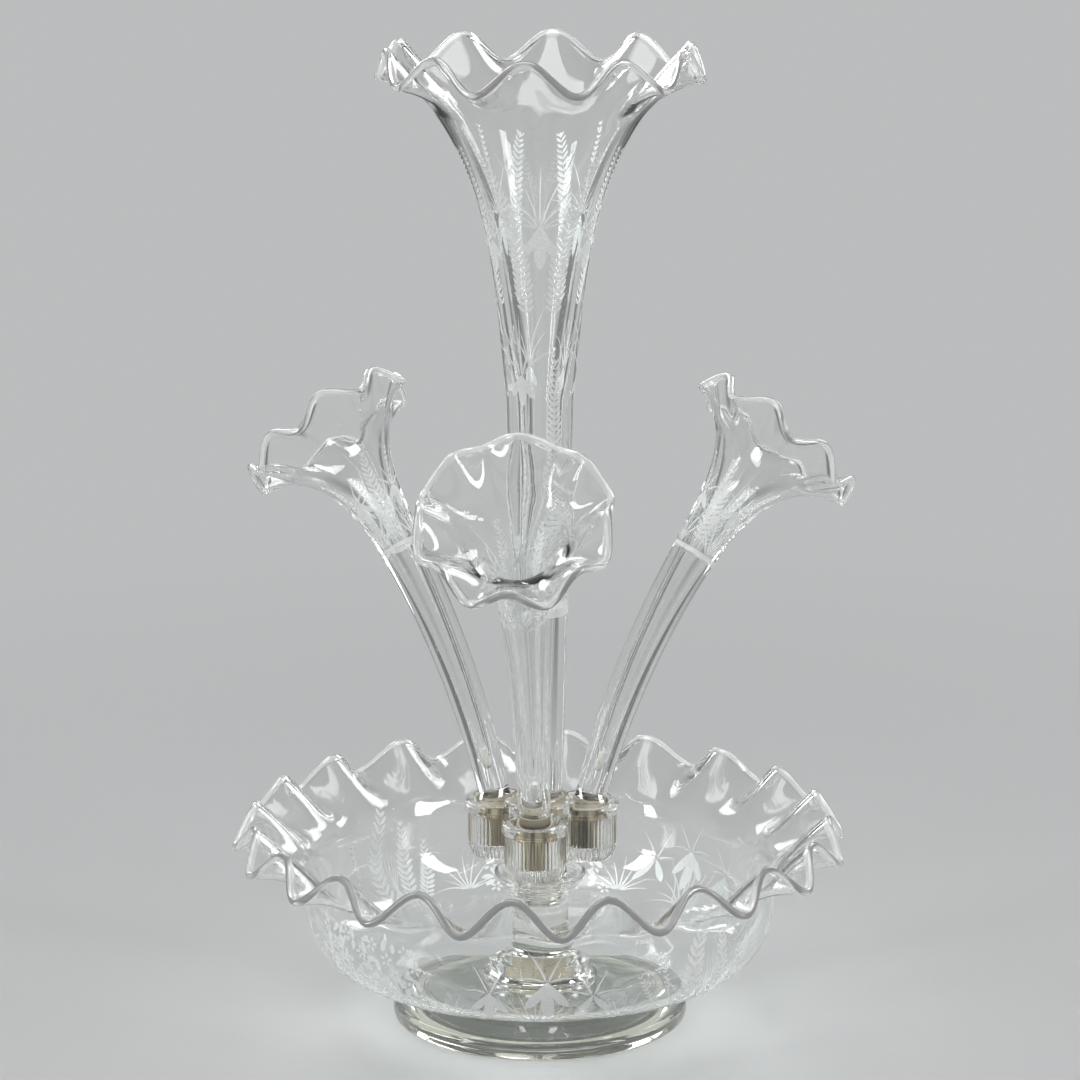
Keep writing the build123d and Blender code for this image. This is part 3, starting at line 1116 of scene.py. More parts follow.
    def dots(self, at: Vector, reach: float, count: int) -> None:
        """Dots strewn about a point."""
        for _ in range(count):
            place = at + Vector((self.chance.uniform(-reach, reach), self.chance.uniform(-reach, reach) * 0.6))
            self.stroke(Leaf.DOT, place, 0.0, 0.9, 0.9)

    def ring(self, low: float, high: float, steps: int = 120) -> None:
        """A frosted ring round the wall.

        Args:
            low: its lower edge, as a length along the wall.
            high: its upper edge.
            steps: faces round it.
        """
        clear_selection()
        bpy.ops.mesh.primitive_grid_add(x_subdivisions=steps, y_subdivisions=2, size=1, location=(0, 0, 0))
        band = bpy.context.object
        for vertex in band.data.vertices:
            along = low + (vertex.co.y + 0.5) * (high - low)
            vertex.co = self.on_wall(Vector((vertex.co.x * 2 * pi * self.wall.on_line(along)[0], along)), 0.03)
        self.strokes.append(band)

    def finish(self, name: str) -> Object:
        """Joins the strokes.

        Args:
            name: the engraving's name.

        Returns:
            The engraving.
        """
        clear_selection()
        for stroke in self.strokes:
            stroke.select_set(True)
        bpy.context.view_layer.objects.active = self.strokes[0]
        bpy.ops.object.join()
        piece = bpy.context.object
        piece.name = name
        for stamp in self.stamps.values():
            bpy.data.objects.remove(stamp)
        polish(piece, 60.0)
        return piece


# The object's own pieces


@dataclass
class Foot:
    """Thick pressed disc with a groove under it."""

    radius: float = 74.0
    height: float = 13.0
    edge: float = 9.0
    seat: float = 46.0
    groove: float = 61.0

    def build(self, finishes: Finishes) -> Object:
        """Makes the foot.

        Args:
            finishes: the object's finishes.

        Returns:
            The foot.
        """
        line = [
            (0.0, 0.0), (self.groove - 4, 0.0), (self.groove - 2, 2.0), (self.groove + 2, 2.0), (self.groove + 4, 0.0),
            (self.radius - 2, 0.0), (self.radius - 0.3, 1.7), (self.radius - 0.02, self.edge / 2),
            (self.radius - 0.3, self.edge - 1.7), (self.radius - 2, self.edge),
            (self.seat, self.height - GAP), (0.0, self.height - GAP),
        ]
        piece = spun("foot_glass", line, 180)
        soften(piece, 0.7, angle=12)
        polish(piece)
        return dress(piece, finishes.foot, "stand", Slot.PRESSED, "foot")


@dataclass
class Bowl:
    """Wide blown bowl with twenty waves in its turned-out edge."""

    base_height: float = 13.0
    base: float = 44.0
    rise: float = 17.0
    radius: float = 117.0
    corner: float = 32.0
    corner_height: float = 59.0
    wall_top: float = 68.0
    flare: float = 17.0
    rim: tuple[float, float] = (148.1, 96.3)
    wall: float = 3.0
    steps: int = 320

    def shape(self) -> BlownWall:
        """The bowl's wall.

        Returns:
            The wall without thickness.
        """
        turn_in = arc((self.radius - self.corner, self.corner_height), self.corner, self.rise - 90, 0, 24)
        flare = arc((self.radius + self.flare, self.wall_top), self.flare, 180, 135, 12)
        start, end = flare[-1], self.rim
        lip = [
            (start[0] + (end[0] - start[0]) * share, start[1] + (end[1] - start[1]) * (share + 0.1 * sin(pi * share)))
            for share in (step / 12 for step in range(1, 13))
        ]
        slope = [
            (self.base + (turn_in[0][0] - self.base) * share, self.base_height + (turn_in[0][1] - self.base_height) * share)
            for share in (0.0, 0.2, 0.4, 0.6, 0.8)
        ]
        middle = [(self.base * step / 4, self.base_height) for step in range(4)]
        outline = middle + slope + turn_in + [(self.radius, (self.corner_height + self.wall_top) / 2)] + flare + lip
        return BlownWall(outline, Waves(20, 8.8, 27.0, 0.0, self.radius, self.rim[0]))

    def section(self, wall: BlownWall) -> list[Station]:
        """The section of the bowl with its thickness.

        Args:
            wall: the bowl's wall.

        Returns:
            The closed section.
        """
        alongs = sorted({round(value, 4) for value in wall.lengths + spread(wall.lengths[-13], wall.length, 1.6)})
        outer = [Station(along) for along in alongs[:-1]]
        inner = [Station(along, self.wall) for along in reversed(alongs[:-1])]
        return outer + wall.mouth(self.wall, 0.4) + inner

    def build(self, finishes: Finishes) -> None:
        """Makes the bowl and its engraving.

        Args:
            finishes: the object's finishes.
        """
        wall = self.shape()
        section = self.section(wall)
        bowl = wall.build("bowl_glass", section, self.steps)
        wall.glaze(bowl, section, finishes.blown, finishes.edge)
        dress(bowl, finishes.blown, "stand", Slot.BLOWN, "bowl")
        engraving = self.engrave(wall)
        dress(engraving, finishes.frost, "stand", Slot.BLOWN)

    def engrave(self, wall: BlownWall) -> Object:
        """Cuts the ferns, grasses and leaves round the wall.

        Args:
            wall: the bowl's wall.

        Returns:
            The engraving.
        """
        pattern = Engraving(wall, seed=4)
        foot = Vector((0.0, wall.along_at(31.0)))
        for index in range(8):
            pattern.middle = radians(45 * index - 86)
            if index in (0, 3, 6):
                self.leaf_spray(pattern, foot)
            elif index in (7, 4):
                self.meadow(pattern, foot)
            else:
                self.fern_group(pattern, foot)
            pattern.middle += radians(22.5)
            pattern.tuft(foot + Vector((0.0, 2.0)), 9, 26.0, 1.1)
        return pattern.finish("bowl_engraving")

    def leaf_spray(self, pattern: Engraving, at: Vector) -> None:
        """Hanging spear leaves among grasses.

        Args:
            pattern: the engraving.
            at: the foot of the spray.
        """
        pattern.tuft(at, 11, 34.0, 1.25)
        for across, up, size, leaves in ((-22.0, 25.0, 20.0, 3), (6.0, 32.0, 24.0, 3), (28.0, 24.0, 20.0, 2)):
            point = at + Vector((across, up))
            pattern.grass(at + Vector((across * 0.2, 0.0)), pi / 2 - across * 0.012, up + 6, -across * 0.01, 0.9)
            pattern.spears(point, -pi / 2, size, leaves, 0.5)
            pattern.tuft(point, 4, 21.0, 1.15)

    def fern_group(self, pattern: Engraving, at: Vector) -> None:
        """Two or three fern fronds with ears of grass.

        Args:
            pattern: the engraving.
            at: the foot of the group.
        """
        way = pattern.chance.choice((1, -1))
        pattern.frond(at + Vector((-6.0 * way, 0.0)), pi / 2 + 0.3 * way, 58.0, -0.8 * way, 8.5)
        pattern.frond(at + Vector((5.0 * way, 0.0)), pi / 2 - 0.35 * way, 46.0, 0.5 * way, 7.0)
        pattern.frond(at + Vector((12.0 * way, 0.0)), pi / 2 - 0.8 * way, 36.0, 0.9 * way, 6.0)
        pattern.ear(at + Vector((-9.0 * way, 0.0)), pi / 2 + 0.7 * way, 46.0, -0.5 * way)
        pattern.ear(at + Vector((-14.0 * way, 0.0)), pi / 2 + 0.9 * way, 40.0, -0.4 * way)
        for index in range(7):
            lean = 0.9 * (index / 3 - 1)
            pattern.grass(at + Vector((index * 3.0 - 9.0, 0.0)), pi / 2 + lean, 44.0 - 2 * index, -lean * 0.9, 0.8)
        pattern.dots(at + Vector((0.0, 46.0)), 22.0, 12)

    def meadow(self, pattern: Engraving, at: Vector) -> None:
        """A close patch of small leaves and flowers.

        Args:
            pattern: the engraving.
            at: the foot of the patch.
        """
        for row in range(7):
            for column in range(11):
                jitter = Vector((pattern.chance.uniform(-2, 2), pattern.chance.uniform(-1.6, 1.6)))
                place = at + Vector((column * 6.2 - 32.0 + 3.0 * (row % 2), 3.0 + row * 6.0)) + jitter
                if (row + column) % 3 == 0:
                    pattern.flower(place, 3.0)
                else:
                    heading = pattern.chance.uniform(0.2, pi - 0.2)
                    pattern.stroke(Leaf.OVAL, place, heading, pattern.chance.uniform(5.0, 7.5), 3.0, 0.4)


@dataclass
class Pedestal:
    """Pressed bell with a ringed collar, over a plaster plug."""

    floor: float = 16.0
    saucer: float = 73.0
    bore: float = 16.65
    bore_depth: float = 19.1
    socket: float = 9.3
    socket_depth: float = 14.3

    def build(self, finishes: Finishes) -> None:
        """Makes the pedestal and its plug.

        Args:
            finishes: the object's finishes.
        """
        floor, saucer = self.floor, self.saucer
        bell = [(28.8, GAP), (28.8, 5.5), (27.6, 6.6), (24.6, 8.5), (25.8, 11.0), (25.8, 15.0), (17.6, 22.5), (14.9, 25.3)]
        neck = [(14.4, 28.5), (14.2, 38.0), (14.4, 47.0)]
        rings = [(17.5, 49.1), (16.6, 50.0), (19.7, 52.1), (18.8, 53.0), (21.9, 55.1), (21.0, 56.0), (22.8, 57.0), (22.8, 59.0)]
        line = [(0.0, floor + self.bore_depth), (self.bore, floor + self.bore_depth), (self.bore, floor + GAP)]
        line += [(radius, floor + height) for radius, height in bell + neck + rings]
        line += [(21.0, saucer + 2), (19.0, saucer), (self.socket, saucer)]
        line += [(self.socket, saucer - self.socket_depth), (0.0, saucer - self.socket_depth)]
        piece = spun("pedestal_glass", line, 144)
        soften(piece, 0.55, angle=18)
        polish(piece)
        dress(piece, finishes.pressed, "stand", Slot.PRESSED, "pedestal")
        plug = spun(
            "pedestal_plaster",
            [(0.0, floor + GAP), (15.6, floor + GAP), (16.3, floor + 0.8), (16.4, 33.6), (15.8, 34.6), (0.0, 34.8)],
            96,
        )
        polish(plug)
        dress(plug, finishes.plaster, "stand", Slot.PLASTER, "pedestal_cement")


@dataclass
class CupCluster:
    """Four fluted cups pressed as one, with the peg that fits the pedestal."""

    circle: float = 25.5
    foot: float = 79.0
    top: float = 107.5
    centre_top: float = 112.0
    floor: float = 85.5
    flutes: int = 40
    flute_depth: float = 1.05
    lip: float = 5.5

    def cup(self, name: str, radius: float, top: float) -> Object:
        """One fluted cup without its bore.

        Args:
            name: the cup's name.
            radius: its radius over the flutes.
            top: the height of its mouth.

        Returns:
            The cup, on the axis.
        """
        lip_foot = top - self.lip
        line = [(0.0, self.foot), (radius - 2.6, self.foot), (radius - 2.1, self.foot + 0.4)]
        line += [(radius - 0.35, self.foot + 4.4), (radius, self.foot + 5.4)]
        line += [(radius, height) for height in spread(self.foot + 8, lip_foot - 1.2, 3.0)]
        line += [(radius + 0.1, lip_foot - 0.5), (radius + 0.9, lip_foot + 0.2), (radius + 1.4, lip_foot + 1.2)]
        line += [(radius + 1.4, top - 1.2), (radius + 1.0, top - 0.35), (radius + 0.3, top)]
        line += [(radius - 0.8, top), (radius - 1.1, top - 0.45), (radius - 1.5, top - 0.5), (radius - 1.9, top - 0.1)]
        line += [(0.0, top - 0.1)]
        piece = spun(name, line, self.flutes * 6)
        for vertex in piece.data.vertices:
            height = vertex.co.z / MM
            reach = hypot(vertex.co.x, vertex.co.y)
            fade = min(max((lip_foot - height) / 1.6, 0.0), 1.0)
            if reach > (radius - 3.2) * MM and fade > 0:
                angle = atan2(vertex.co.y, vertex.co.x)
                hollow = self.flute_depth * fade * abs(sin(self.flutes * angle / 2)) * MM
                vertex.co.x *= 1 - hollow / reach
                vertex.co.y *= 1 - hollow / reach
        piece.data.update()
        return piece

    def bore(self, name: str, radius: float, top: float) -> Object:
        """The hollow of a cup, a little wider at its mouth.

        Args:
            name: the hollow's name.
            radius: its radius.
            top: the height of the cup's mouth.

        Returns:
            The hollow as a solid, on the axis.
        """
        line = [(0.0, self.floor), (radius - 0.8, self.floor), (radius, self.floor + 0.8), (radius, top - 1.4)]
        line += [(radius + 0.25, top - 0.6), (radius + 0.9, top - 0.1), (radius + 1.4, top + 2), (0.0, top + 2)]
        return spun(name, line, 96)

    def build(self, finishes: Finishes) -> None:
        """Makes the cluster.

        Args:
            finishes: the object's finishes.
        """
        saucer = 73.0 + GAP
        line = [(0.0, 59.0), (8.2, 59.0), (9.0, 59.8), (9.0, saucer), (13.5, saucer), (13.5, self.foot + 1.5)]
        cluster = spun("cup_cluster_glass", line + [(0.0, self.foot + 1.5)], 96)
        cut(cluster, self.cup("centre_cup", 16.2, self.centre_top), "UNION")
        side_cup = self.cup("side_cup", 15.3, self.top)
        side_bore = self.bore("side_bore", 11.4, self.top)
        places = [Matrix.Rotation(radians(side.value), 4, "Z") for side in Side]
        out = Matrix.Translation((self.circle * MM, 0, 0))
        for index, turn in enumerate(places):
            cut(cluster, twin(side_cup, f"cup_{index}", turn @ out), "UNION")
        cut(cluster, self.bore("centre_bore", 12.6, self.centre_top), "DIFFERENCE")
        for index, turn in enumerate(places):
            cut(cluster, twin(side_bore, f"bore_{index}", turn @ out), "DIFFERENCE")
        bpy.data.objects.remove(side_cup)
        bpy.data.objects.remove(side_bore)
        close_skin(cluster)
        polish(cluster, 24.0)
        dress(cluster, finishes.pressed, "stand", Slot.PRESSED, "cup_cluster")


@dataclass
class CentreFlute:
    """Tall trumpet on a long stem, with ten waves at its mouth."""

    end: float = 92.6
    stem_top: float = 316.0
    flare_rise: float = 147.5
    rim: tuple[float, float] = (76.6, 477.6)
    wall: float = 2.8
    steps: int = 240

    def shape(self) -> BlownWall:
        """The flute's outer wall.

        Returns:
            The wall without thickness.
        """
        line: Line = [(0.0, self.end), (5.0, self.end), (9.4, self.end + 0.2), (10.5, self.end + 0.9), (10.8, self.end + 2.0)]
        line += [(10.8, 100.0), (10.8, 107.0), (10.8, 114.6), (11.15, 119.0), (11.6, 123.4)]
        line += [(11.6 + 4.9 * share, 123.4 + (self.stem_top - 123.4) * share) for share in spread(0.04, 0.96, 0.04)]
        for share in spread(0.0, 1.0, 0.02):
            line.append((16.5 + 14 * share + 26.5 * share**4, self.stem_top + self.flare_rise * share))
        start = line[-1]
        for step in range(1, 13):
            share = step / 12
            line.append((
                start[0] + (self.rim[0] - start[0]) * share,
                start[1] + (self.rim[1] - start[1]) * (share + 0.08 * sin(pi * share)),
            ))
        return BlownWall(line, Waves(10, 7.7, 12.0, 18.0, 50.0, self.rim[0], 1.15))

    def section(self, wall: BlownWall) -> list[Station]:
        """The flute's section, solid in the stem's lower end.

        Args:
            wall: the flute's wall.

        Returns:
            The closed section.
        """
        flare_foot = wall.along_at(self.stem_top)
        flare_end = wall.lengths[-13]
        tip = wall.along_at(131.5)
        outer = [Station(along) for along in wall.lengths[:-1]]
        inner = []
        for along in reversed(wall.lengths[:-1]):
            if along < tip + 1:
                break
            radius = wall.on_line(along)[0]
            if along >= flare_foot:
                share = min((along - flare_foot) / (flare_end - flare_foot), 1.0)
                depth = 9.0 + (self.wall - 9.0) * share**0.85
            else:
                share = (along - tip) / (flare_foot - tip)
                cavity = 7.5 * min(1.0, 0.42 + 0.58 * share) * min(1.0, (share * 22) ** 0.5)
                depth = radius - cavity
            inner.append(Station(along, depth))
        return outer + wall.mouth(self.wall, 0.45) + inner + [Station(tip, wall.on_line(tip)[0])]

    def build(self, finishes: Finishes) -> None:
        """Makes the flute and its engraving.

        Args:
            finishes: the object's finishes.
        """
        wall = self.shape()
        section = self.section(wall)
        flute = wall.build("centre_flute_glass", section, self.steps)
        wall.glaze(flute, section, finishes.blown, finishes.edge)
        dress(flute, finishes.blown, "centre_flute", Slot.BLOWN, "centre_flute")
        dress(self.engrave(wall), finishes.frost, "centre_flute", Slot.BLOWN)

    def engrave(self, wall: BlownWall) -> Object:
        """Cuts the ring and the ferns that grow from it.

        Args:
            wall: the flute's wall.

        Returns:
            The engraving.
        """
        pattern = Engraving(wall, seed=11)
        low = wall.along_at(208.0)
        pattern.ring(low, wall.along_at(212.0))
        for index in range(6):
            pattern.middle = radians(60 * index - 85)
            self.bell_spray(pattern, fronds=index % 2 == 0)
            pattern.middle += radians(30)
            self.stem_spray(pattern, low + 4.5, frond=index % 2 == 0)
        return pattern.finish("centre_flute_engraving")

    def bell_spray(self, pattern: Engraving, fronds: bool) -> None:
        """Hanging leaves with grasses over them, and perhaps two fronds that part towards the mouth.

        Args:
            pattern: the engraving.
            fronds: whether the fronds are there.
        """
        knot = Vector((0.0, pattern.wall.along_at(403.0 if fronds else 396.0)))
        pattern.spears(knot, -pi / 2, 21.0 if fronds else 16.0, 3, 0.42)
        pattern.tuft(knot, 8 if fronds else 5, 34.0, 1.15 if fronds else 0.6)
        if not fronds:
            return
        for way in (1, -1):
            foot = Vector((6.5 * way, pattern.wall.along_at(352.0)))
            pattern.frond(foot, pi / 2, 95.0, -0.56 * way, 6.8)
            pattern.ear(knot + Vector((0.8 * way, 2.0)), pi / 2 - 0.1 * way, 42.0, -0.22 * way)

    def stem_spray(self, pattern: Engraving, foot: float, frond: bool) -> None:
        """A tall frond from the ring, or long grasses with hanging leaves.

        Args:
            pattern: the engraving.
            foot: its foot, as a length along the wall.
            frond: whether it is the frond.
        """
        if frond:
            pattern.frond(Vector((0.0, foot)), pi / 2, 126.0, 0.03, 6.8)
            return
        for way in (1, -1):
            pattern.grass(Vector((1.2 * way, foot)), pi / 2, 150.0, -0.06 * way, 1.2)
            pattern.grass(Vector((3.6 * way, foot)), pi / 2, 70.0, -0.3 * way, 1.1)
        knot = Vector((0.0, pattern.wall.along_at(330.0)))
        pattern.spears(knot, -pi / 2, 17.0, 3, 0.4)
        pattern.tuft(knot, 5, 38.0, 0.45)


@dataclass
class SideFlute:
    """Slim bent flute with eight waves at its mouth, made once and set in three places."""

    circle: float = 25.5
    pivot: float = 101.0
    lean: float = 16.0
    mouth_lean: float = 43.5
    bend_radius: float = 400.0
    straight: float = 14.0
    sunk: float = 5.0
    stem: float = 7.8
    taper: float = 4.2
    flare: float = 17.5
    flare_reach: float = 18.0
    wall: float = 2.7
    channel: float = 2.4
    channel_end: float = 27.0
    rim: tuple[float, float] = (45.5, 12.6)
    steps: int = 192

    @property
    def bend_length(self) -> float:
        """Length of the bend."""
        return self.bend_radius * radians(self.mouth_lean - self.lean)

    def radius(self, distance: float) -> float:
        """Outer radius at a distance from the stem's end."""
        along = distance - self.straight
        if along <= 0:
            return self.stem
        length = self.bend_length
        return self.stem + self.taper * along / length + self.flare * exp((along - length) / self.flare_reach)

    def bent(self, point: Vector) -> Vector:
        """Carries a point of the straight flute onto its bent line, over the cup on +X.

        Args:
            point: the point, with its height from the stem's end.

        Returns:
            The point in the object's frame.
        """
        start = radians(self.lean)
        along = min(point.z, self.straight) - self.sunk
        x = self.circle + along * sin(start)
        z = self.pivot + along * cos(start)
        turn = min(max(point.z - self.straight, 0.0), self.bend_length) / self.bend_radius
        angle = start + turn
        x += self.bend_radius * (cos(start) - cos(angle))
        z += self.bend_radius * (sin(angle) - sin(start))
        rest = max(point.z - self.straight - self.bend_length, 0.0)
        x += rest * sin(angle) + point.x * cos(angle)
        z += rest * cos(angle) - point.x * sin(angle)
        return Vector((x, point.y, z))

    def shape(self) -> BlownWall:
        """The flute's outer wall, drawn straight.

        Returns:
            The wall without thickness.
        """
        end = self.straight + self.bend_length
        line: Line = [(0.0, 0.0), (4.0, 0.0), (6.8, 0.2), (7.6, 0.8), (7.8, 1.8), (7.8, 8.0)]
        line += [(self.radius(distance), distance) for distance in spread(self.straight, end, 3.0)]
        start = line[-1]
        for step in range(1, 13):
            share = step / 12
            line.append((
                start[0] + (self.rim[0] - start[0]) * share,
                start[1] + self.rim[1] * (share + 0.1 * sin(pi * share)),
            ))
        return BlownWall(line, Waves(8, 5.1, 12.0, 0.0, 27.0, self.rim[0], 1.15), self.bent)

    def section(self, wall: BlownWall) -> list[Station]:
        """The flute's section, with its fine channel.

        Args:
            wall: the flute's wall.

        Returns:
            The closed section.
        """
        tip = wall.along_at(self.channel_end)
        end = self.straight + self.bend_length
        outer = [Station(along) for along in wall.lengths[:-1]]
        inner = []
        for along in reversed(wall.lengths[:-1]):
            if along < tip + 1:
                break
            radius, distance = wall.on_line(along)
            share = min(max((distance - self.straight) / (end - self.straight), 0.0), 1.0)
            if distance < end:
                bore = self.channel + (self.radius(distance) - self.wall - self.channel) * share**1.5
                bore *= min(1.0, ((along - tip) / 12.0) ** 0.5)
                depth = radius - bore
            else:
                depth = self.wall
            inner.append(Station(along, min(depth, radius)))
        return outer + wall.mouth(self.wall, 0.45) + inner + [Station(tip, wall.on_line(tip)[0])]

    def deposit(self) -> Object:
        """What dried in the bottom of the channel, over the cup on +X.

        Returns:
            The deposit.
        """
        low = self.channel_end
        line = [(0.0, low + 0.5), (0.7, low + 0.7), (1.3, low + 2.2), (1.75, low + 5.0), (1.85, low + 9.0)]
        line += [(1.8, low + 10.5), (0.9, low + 9.6), (0.0, low + 9.3)]
        piece = spun("deposit", line, 32)
        for vertex in piece.data.vertices:
            vertex.co = self.bent(vertex.co / MM) * MM
        piece.data.update()
        polish(piece, 60.0)
        return piece

    def engrave(self, wall: BlownWall) -> Object:
        """Cuts the ring and the sprigs above it.

        Args:
            wall: the flute's wall.

        Returns:
            The engraving over the cup on +X.
        """
        pattern = Engraving(wall, seed=7)
        low = wall.along_at(self.straight + 0.69 * self.bend_length)
        pattern.ring(low, low + 2.2, 72)
        foot = Vector((0.0, low + 2.7))
        for index in range(4):
            way = 1 if index % 2 else -1
            pattern.middle = radians(90 * index + 45)
            pattern.frond(foot, pi / 2 + 0.04 * way, 46.0, -0.25 * way, 5.6)
            pattern.grass(foot + Vector((3.0, 0.0)), pi / 2, 54.0, 0.3 * way, 1.0)
            pattern.middle += radians(45)
            pattern.tuft(foot, 5, 36.0, 0.4)
            pattern.spears(foot + Vector((0.0, 27.0)), -pi / 2, 13.0, 3, 0.5)
            pattern.tuft(foot + Vector((0.0, 27.0)), 4, 18.0, 0.8)
        return pattern.finish("side_flute_engraving")

    def build(self, finishes: Finishes) -> None:
        """Makes the three flutes and their engraving.

        Args:
            finishes: the object's finishes.
        """
        wall = self.shape()
        section = self.section(wall)
        flute = wall.build("side_flute_glass", section, self.steps)
        wall.glaze(flute, section, finishes.blown, finishes.edge)
        engraving = self.engrave(wall)
        deposit = self.deposit()
        for side in Side:
            name = side.name.lower()
            turn = Matrix.Rotation(radians(side.value), 4, "Z")
            body = f"{name}_flute"
            dress(twin(flute, f"{name}_flute_glass", turn), finishes.blown, body, Slot.BLOWN, body)
            dress(twin(engraving, f"{name}_flute_engraving", turn), finishes.frost, body, Slot.BLOWN)
            dress(twin(deposit, f"{name}_flute_deposit", turn), finishes.deposit, body, Slot.PLASTER)
        bpy.data.objects.remove(deposit)
        bpy.data.objects.remove(flute)
        bpy.data.objects.remove(engraving)


@dataclass
class Collars:
    """Plaster collars that hold the stems in their cups."""

    circle: float = 25.5
    pivot: float = 101.0
    lean: float = 16.0
    bottom: float = 85.85
    centre_top: float = 114.5
    side_top: float = 106.5
    side_radius: float = 11.1
    side_bore: float = 8.1

    def leaning(self, piece: Object, sunk: float) -> Object:
        """Leans an upright piece along a side stem, with its foot a distance below the pivot."""
        tilt = Matrix.Rotation(radians(self.lean), 4, "Y")
        foot = Matrix.Translation((0, 0, -sunk * MM))
        return moved(piece, Matrix.Translation((self.circle * MM, 0, self.pivot * MM)) @ tilt @ foot)

    def centre(self) -> Object:
        """The centre collar, a sleeve with a rounded and slightly uneven top.

        Returns:
            The collar.
        """
        top = self.centre_top
        line = [(0.0, self.bottom), (11.7, self.bottom), (12.25, self.bottom + 0.6), (12.25, top - 1.6)]
        line += [(12.15, top - 0.9), (11.8, top - 0.25), (11.4, top - 0.1), (11.12, top - 0.4), (11.12, 92.35), (0.0, 92.35)]
        return spun("centre_collar_plaster", line, 96)

    def side(self) -> Object:
        """A side collar over the cup on +X: a plug, a cuff along the stem, and the slanted socket.

        Returns:
            The collar.
        """
        radius = self.side_radius - 0.05
        out = Matrix.Translation((self.circle * MM, 0, 0))
        plug_line = [(0.0, self.bottom), (radius - 0.6, self.bottom), (radius, self.bottom + 0.6)]
        plug_line += [(radius, self.side_top - 4.2), (radius - 0.9, self.side_top - 3.6), (0.0, self.side_top - 3.0)]
        collar = moved(spun("side_collar_plaster", plug_line, 72), out)
        cuff = self.leaning(spun("cuff", [(0.0, 0.0), (10.2, 0.0), (9.2, 6.6), (8.8, 7.6), (0.0, 7.9)], 72), 0.0)
        column = moved(spun("column", [(0.0, 90.0), (radius, 90.0), (radius, 112.0), (0.0, 112.0)], 72), out)
        cut(cuff, column, "INTERSECT")
        cut(collar, cuff, "UNION")
        socket_line = [(0.0, 0.0), (self.side_bore, 0.0), (self.side_bore, 30.0), (0.0, 30.0)]
        cut(collar, self.leaning(spun("socket", socket_line, 72), 5.3), "DIFFERENCE")
        close_skin(collar)
        return collar

    def build(self, finishes: Finishes) -> None:
        """Makes the four collars.

        Args:
            finishes: the object's finishes.
        """
        centre = self.centre()
        polish(centre)
        dress(centre, finishes.centre_plaster, "centre_collar", Slot.PLASTER, "centre_collar")
        side_collar = self.side()
        polish(side_collar)
        for side in Side:
            name = f"{side.name.lower()}_collar"
            turn = Matrix.Rotation(radians(side.value), 4, "Z")
            dress(twin(side_collar, f"{name}_plaster", turn), finishes.side_plaster, name, Slot.PLASTER, name)
        bpy.data.objects.remove(side_collar)


# The studio


@dataclass(frozen=True)
class Lamp:
    """A soft lamp that faces the object."""

    name: str
    place: Colour
    size: tuple[float, float]
    power: float

    def build(self) -> None:
        """Sets the lamp up."""
        light = bpy.data.lights.new(self.name, "AREA")
        light.shape = "RECTANGLE"
        light.size, light.size_y = self.size
        light.energy = self.power
        lamp = bpy.data.objects.new(self.name, light)
        lamp.location = self.place
        lamp.rotation_euler = (Vector((0, 0, 0.25)) - Vector(self.place)).to_track_quat("-Z", "Y").to_euler()
        lamp.visible_camera = False
        bpy.context.collection.objects.link(lamp)


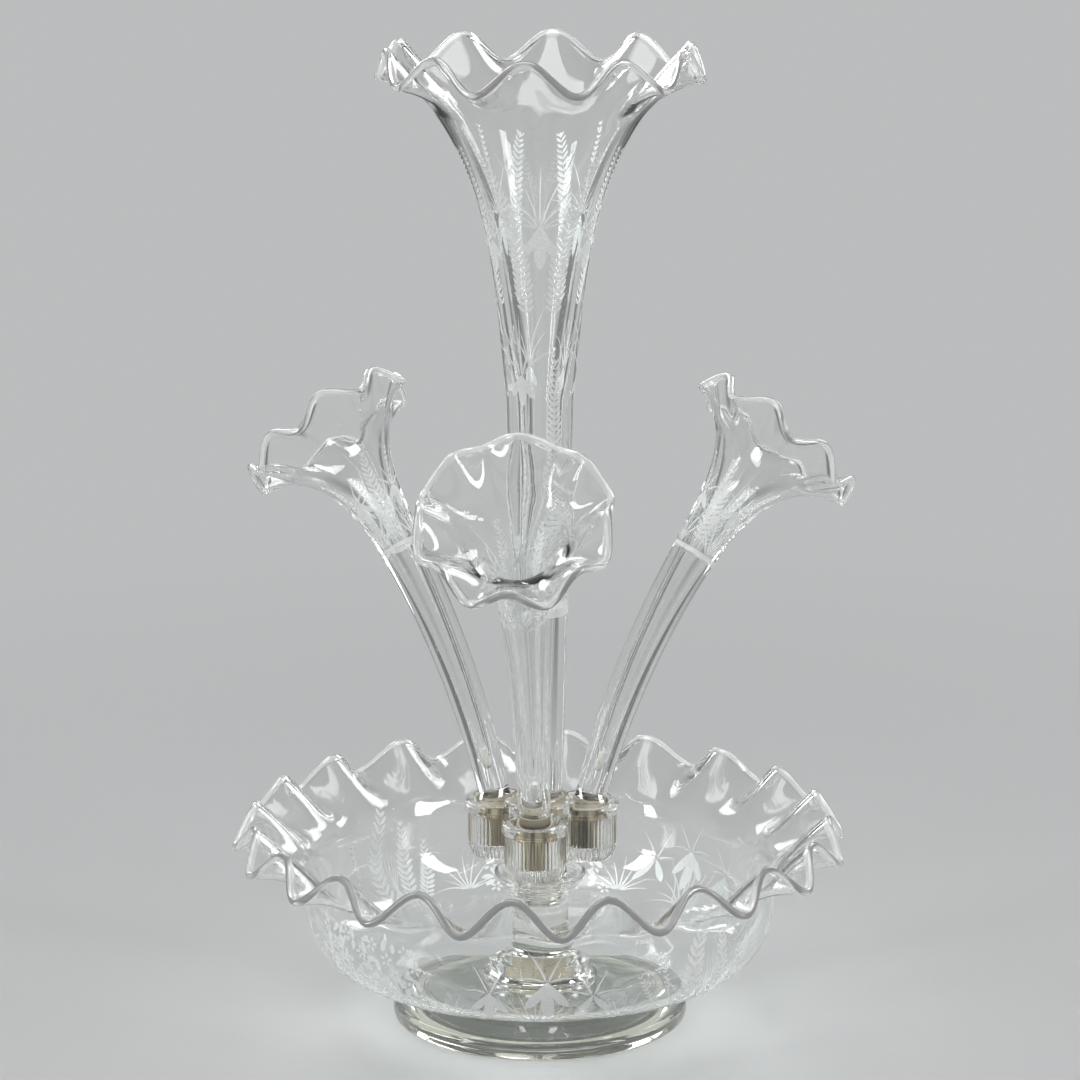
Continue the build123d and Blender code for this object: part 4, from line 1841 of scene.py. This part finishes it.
@dataclass
class Studio:
    """Pale floor, pale surroundings, soft lamps and the photograph's camera."""

    camera_place: Colour = (0.1697, -1.8649, 0.6864)
    camera_pitch: float = 13.275
    camera_field: float = 15.714
    floor_colour: Colour = (0.57, 0.575, 0.58)
    surroundings: Colour = (0.5, 0.505, 0.51)
    lamps: tuple[Lamp, ...] = (
        Lamp("left_strip", (-1.25, -0.9, 0.75), (0.22, 1.3), 10.0),
        Lamp("right_strip", (1.35, -0.55, 0.85), (0.22, 1.3), 9.0),
        Lamp("top_box", (-0.15, -0.2, 1.75), (1.1, 0.8), 9.0),
        Lamp("back_left_box", (-0.8, 1.3, 1.1), (0.5, 0.8), 6.0),
        Lamp("back_right_box", (0.9, 1.25, 1.1), (0.5, 0.8), 6.0),
    )

    @property
    def card_turn(self) -> float:
        """Turn of the pale gap that the camera looks into, in radians from +X."""
        return atan2(-self.camera_place[1], -self.camera_place[0])

    def floor(self) -> None:
        """Lays the floor."""
        clear_selection()
        bpy.ops.mesh.primitive_plane_add(size=30, location=(0, 0, 0))
        floor = bpy.context.object
        floor.name = "studio_floor"
        bpy.ops.object.mode_set(mode="EDIT")
        bpy.ops.mesh.subdivide(number_cuts=5)
        bpy.ops.object.mode_set(mode="OBJECT")
        floor.data.materials.append(FloorFinish("studio_paper", self.floor_colour, self.surroundings, self.card_turn).material())

    def world(self) -> None:
        """Pale surroundings that grow darker overhead, where only reflections see them."""
        world = bpy.data.worlds.new("studio")
        bpy.context.scene.world = world
        world.use_nodes = True
        tree = world.node_tree
        tree.nodes.clear()
        coordinates = tree.nodes.new("ShaderNodeTexCoord")
        split = tree.nodes.new("ShaderNodeSeparateXYZ")
        tree.links.new(coordinates.outputs["Generated"], split.inputs[0])
        height = tree.nodes.new("ShaderNodeMapRange")
        for index, value in enumerate((0.12, 0.75, 1.0, 0.22), start=1):
            height.inputs[index].default_value = value
        tree.links.new(split.outputs["Z"], height.inputs["Value"])
        light_path = tree.nodes.new("ShaderNodeLightPath")
        strength = tree.nodes.new("ShaderNodeMath")
        strength.operation = "MAXIMUM"
        cards = tree.nodes.new("ShaderNodeGroup")
        cards.node_tree = dark_cards_group()
        cards.inputs["Turn"].default_value = self.card_turn
        tree.links.new(coordinates.outputs["Generated"], cards.inputs["Vector"])
        level = tree.nodes.new("ShaderNodeMath")
        level.operation = "MULTIPLY"
        tree.links.new(height.outputs["Result"], level.inputs[0])
        tree.links.new(cards.outputs["Pale"], level.inputs[1])
        tree.links.new(light_path.outputs["Is Camera Ray"], strength.inputs[0])
        tree.links.new(level.outputs[0], strength.inputs[1])
        background = tree.nodes.new("ShaderNodeBackground")
        background.inputs["Color"].default_value = (*self.surroundings, 1.0)
        tree.links.new(strength.outputs[0], background.inputs["Strength"])
        output = tree.nodes.new("ShaderNodeOutputWorld")
        tree.links.new(background.outputs[0], output.inputs["Surface"])

    def camera(self) -> None:
        """Places the camera as the photograph's was."""
        camera = bpy.data.cameras.new("camera")
        camera.sensor_fit = "HORIZONTAL"
        camera.angle = radians(self.camera_field)
        camera.clip_start = 0.05
        eye = bpy.data.objects.new("camera", camera)
        eye.location = self.camera_place
        heading = atan2(self.camera_place[0], -self.camera_place[1])
        eye.rotation_euler = (radians(90 - self.camera_pitch), 0.0, heading)
        bpy.context.collection.objects.link(eye)
        bpy.context.scene.camera = eye

    def build(self) -> None:
        """Sets up the studio."""
        self.floor()
        self.world()
        self.camera()
        for lamp in self.lamps:
            lamp.build()
        scene = bpy.context.scene
        scene.view_settings.view_transform = "Standard"
        scene.cycles.max_bounces = 28
        scene.cycles.transmission_bounces = 28
        scene.cycles.transparent_max_bounces = 48
        scene.cycles.glossy_bounces = 12
        log.info("studio: %d lamps", len(self.lamps))


def main() -> None:
    """Builds the pieces in order."""
    logging.basicConfig(level=logging.INFO, format="%(name)s: %(message)s")
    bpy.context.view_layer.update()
    finishes = Finishes()
    Studio().build()
    Foot().build(finishes)
    Bowl().build(finishes)
    Pedestal().build(finishes)
    CupCluster().build(finishes)
    Collars().build(finishes)
    CentreFlute().build(finishes)
    SideFlute().build(finishes)


if __name__ == "__main__":
    main()
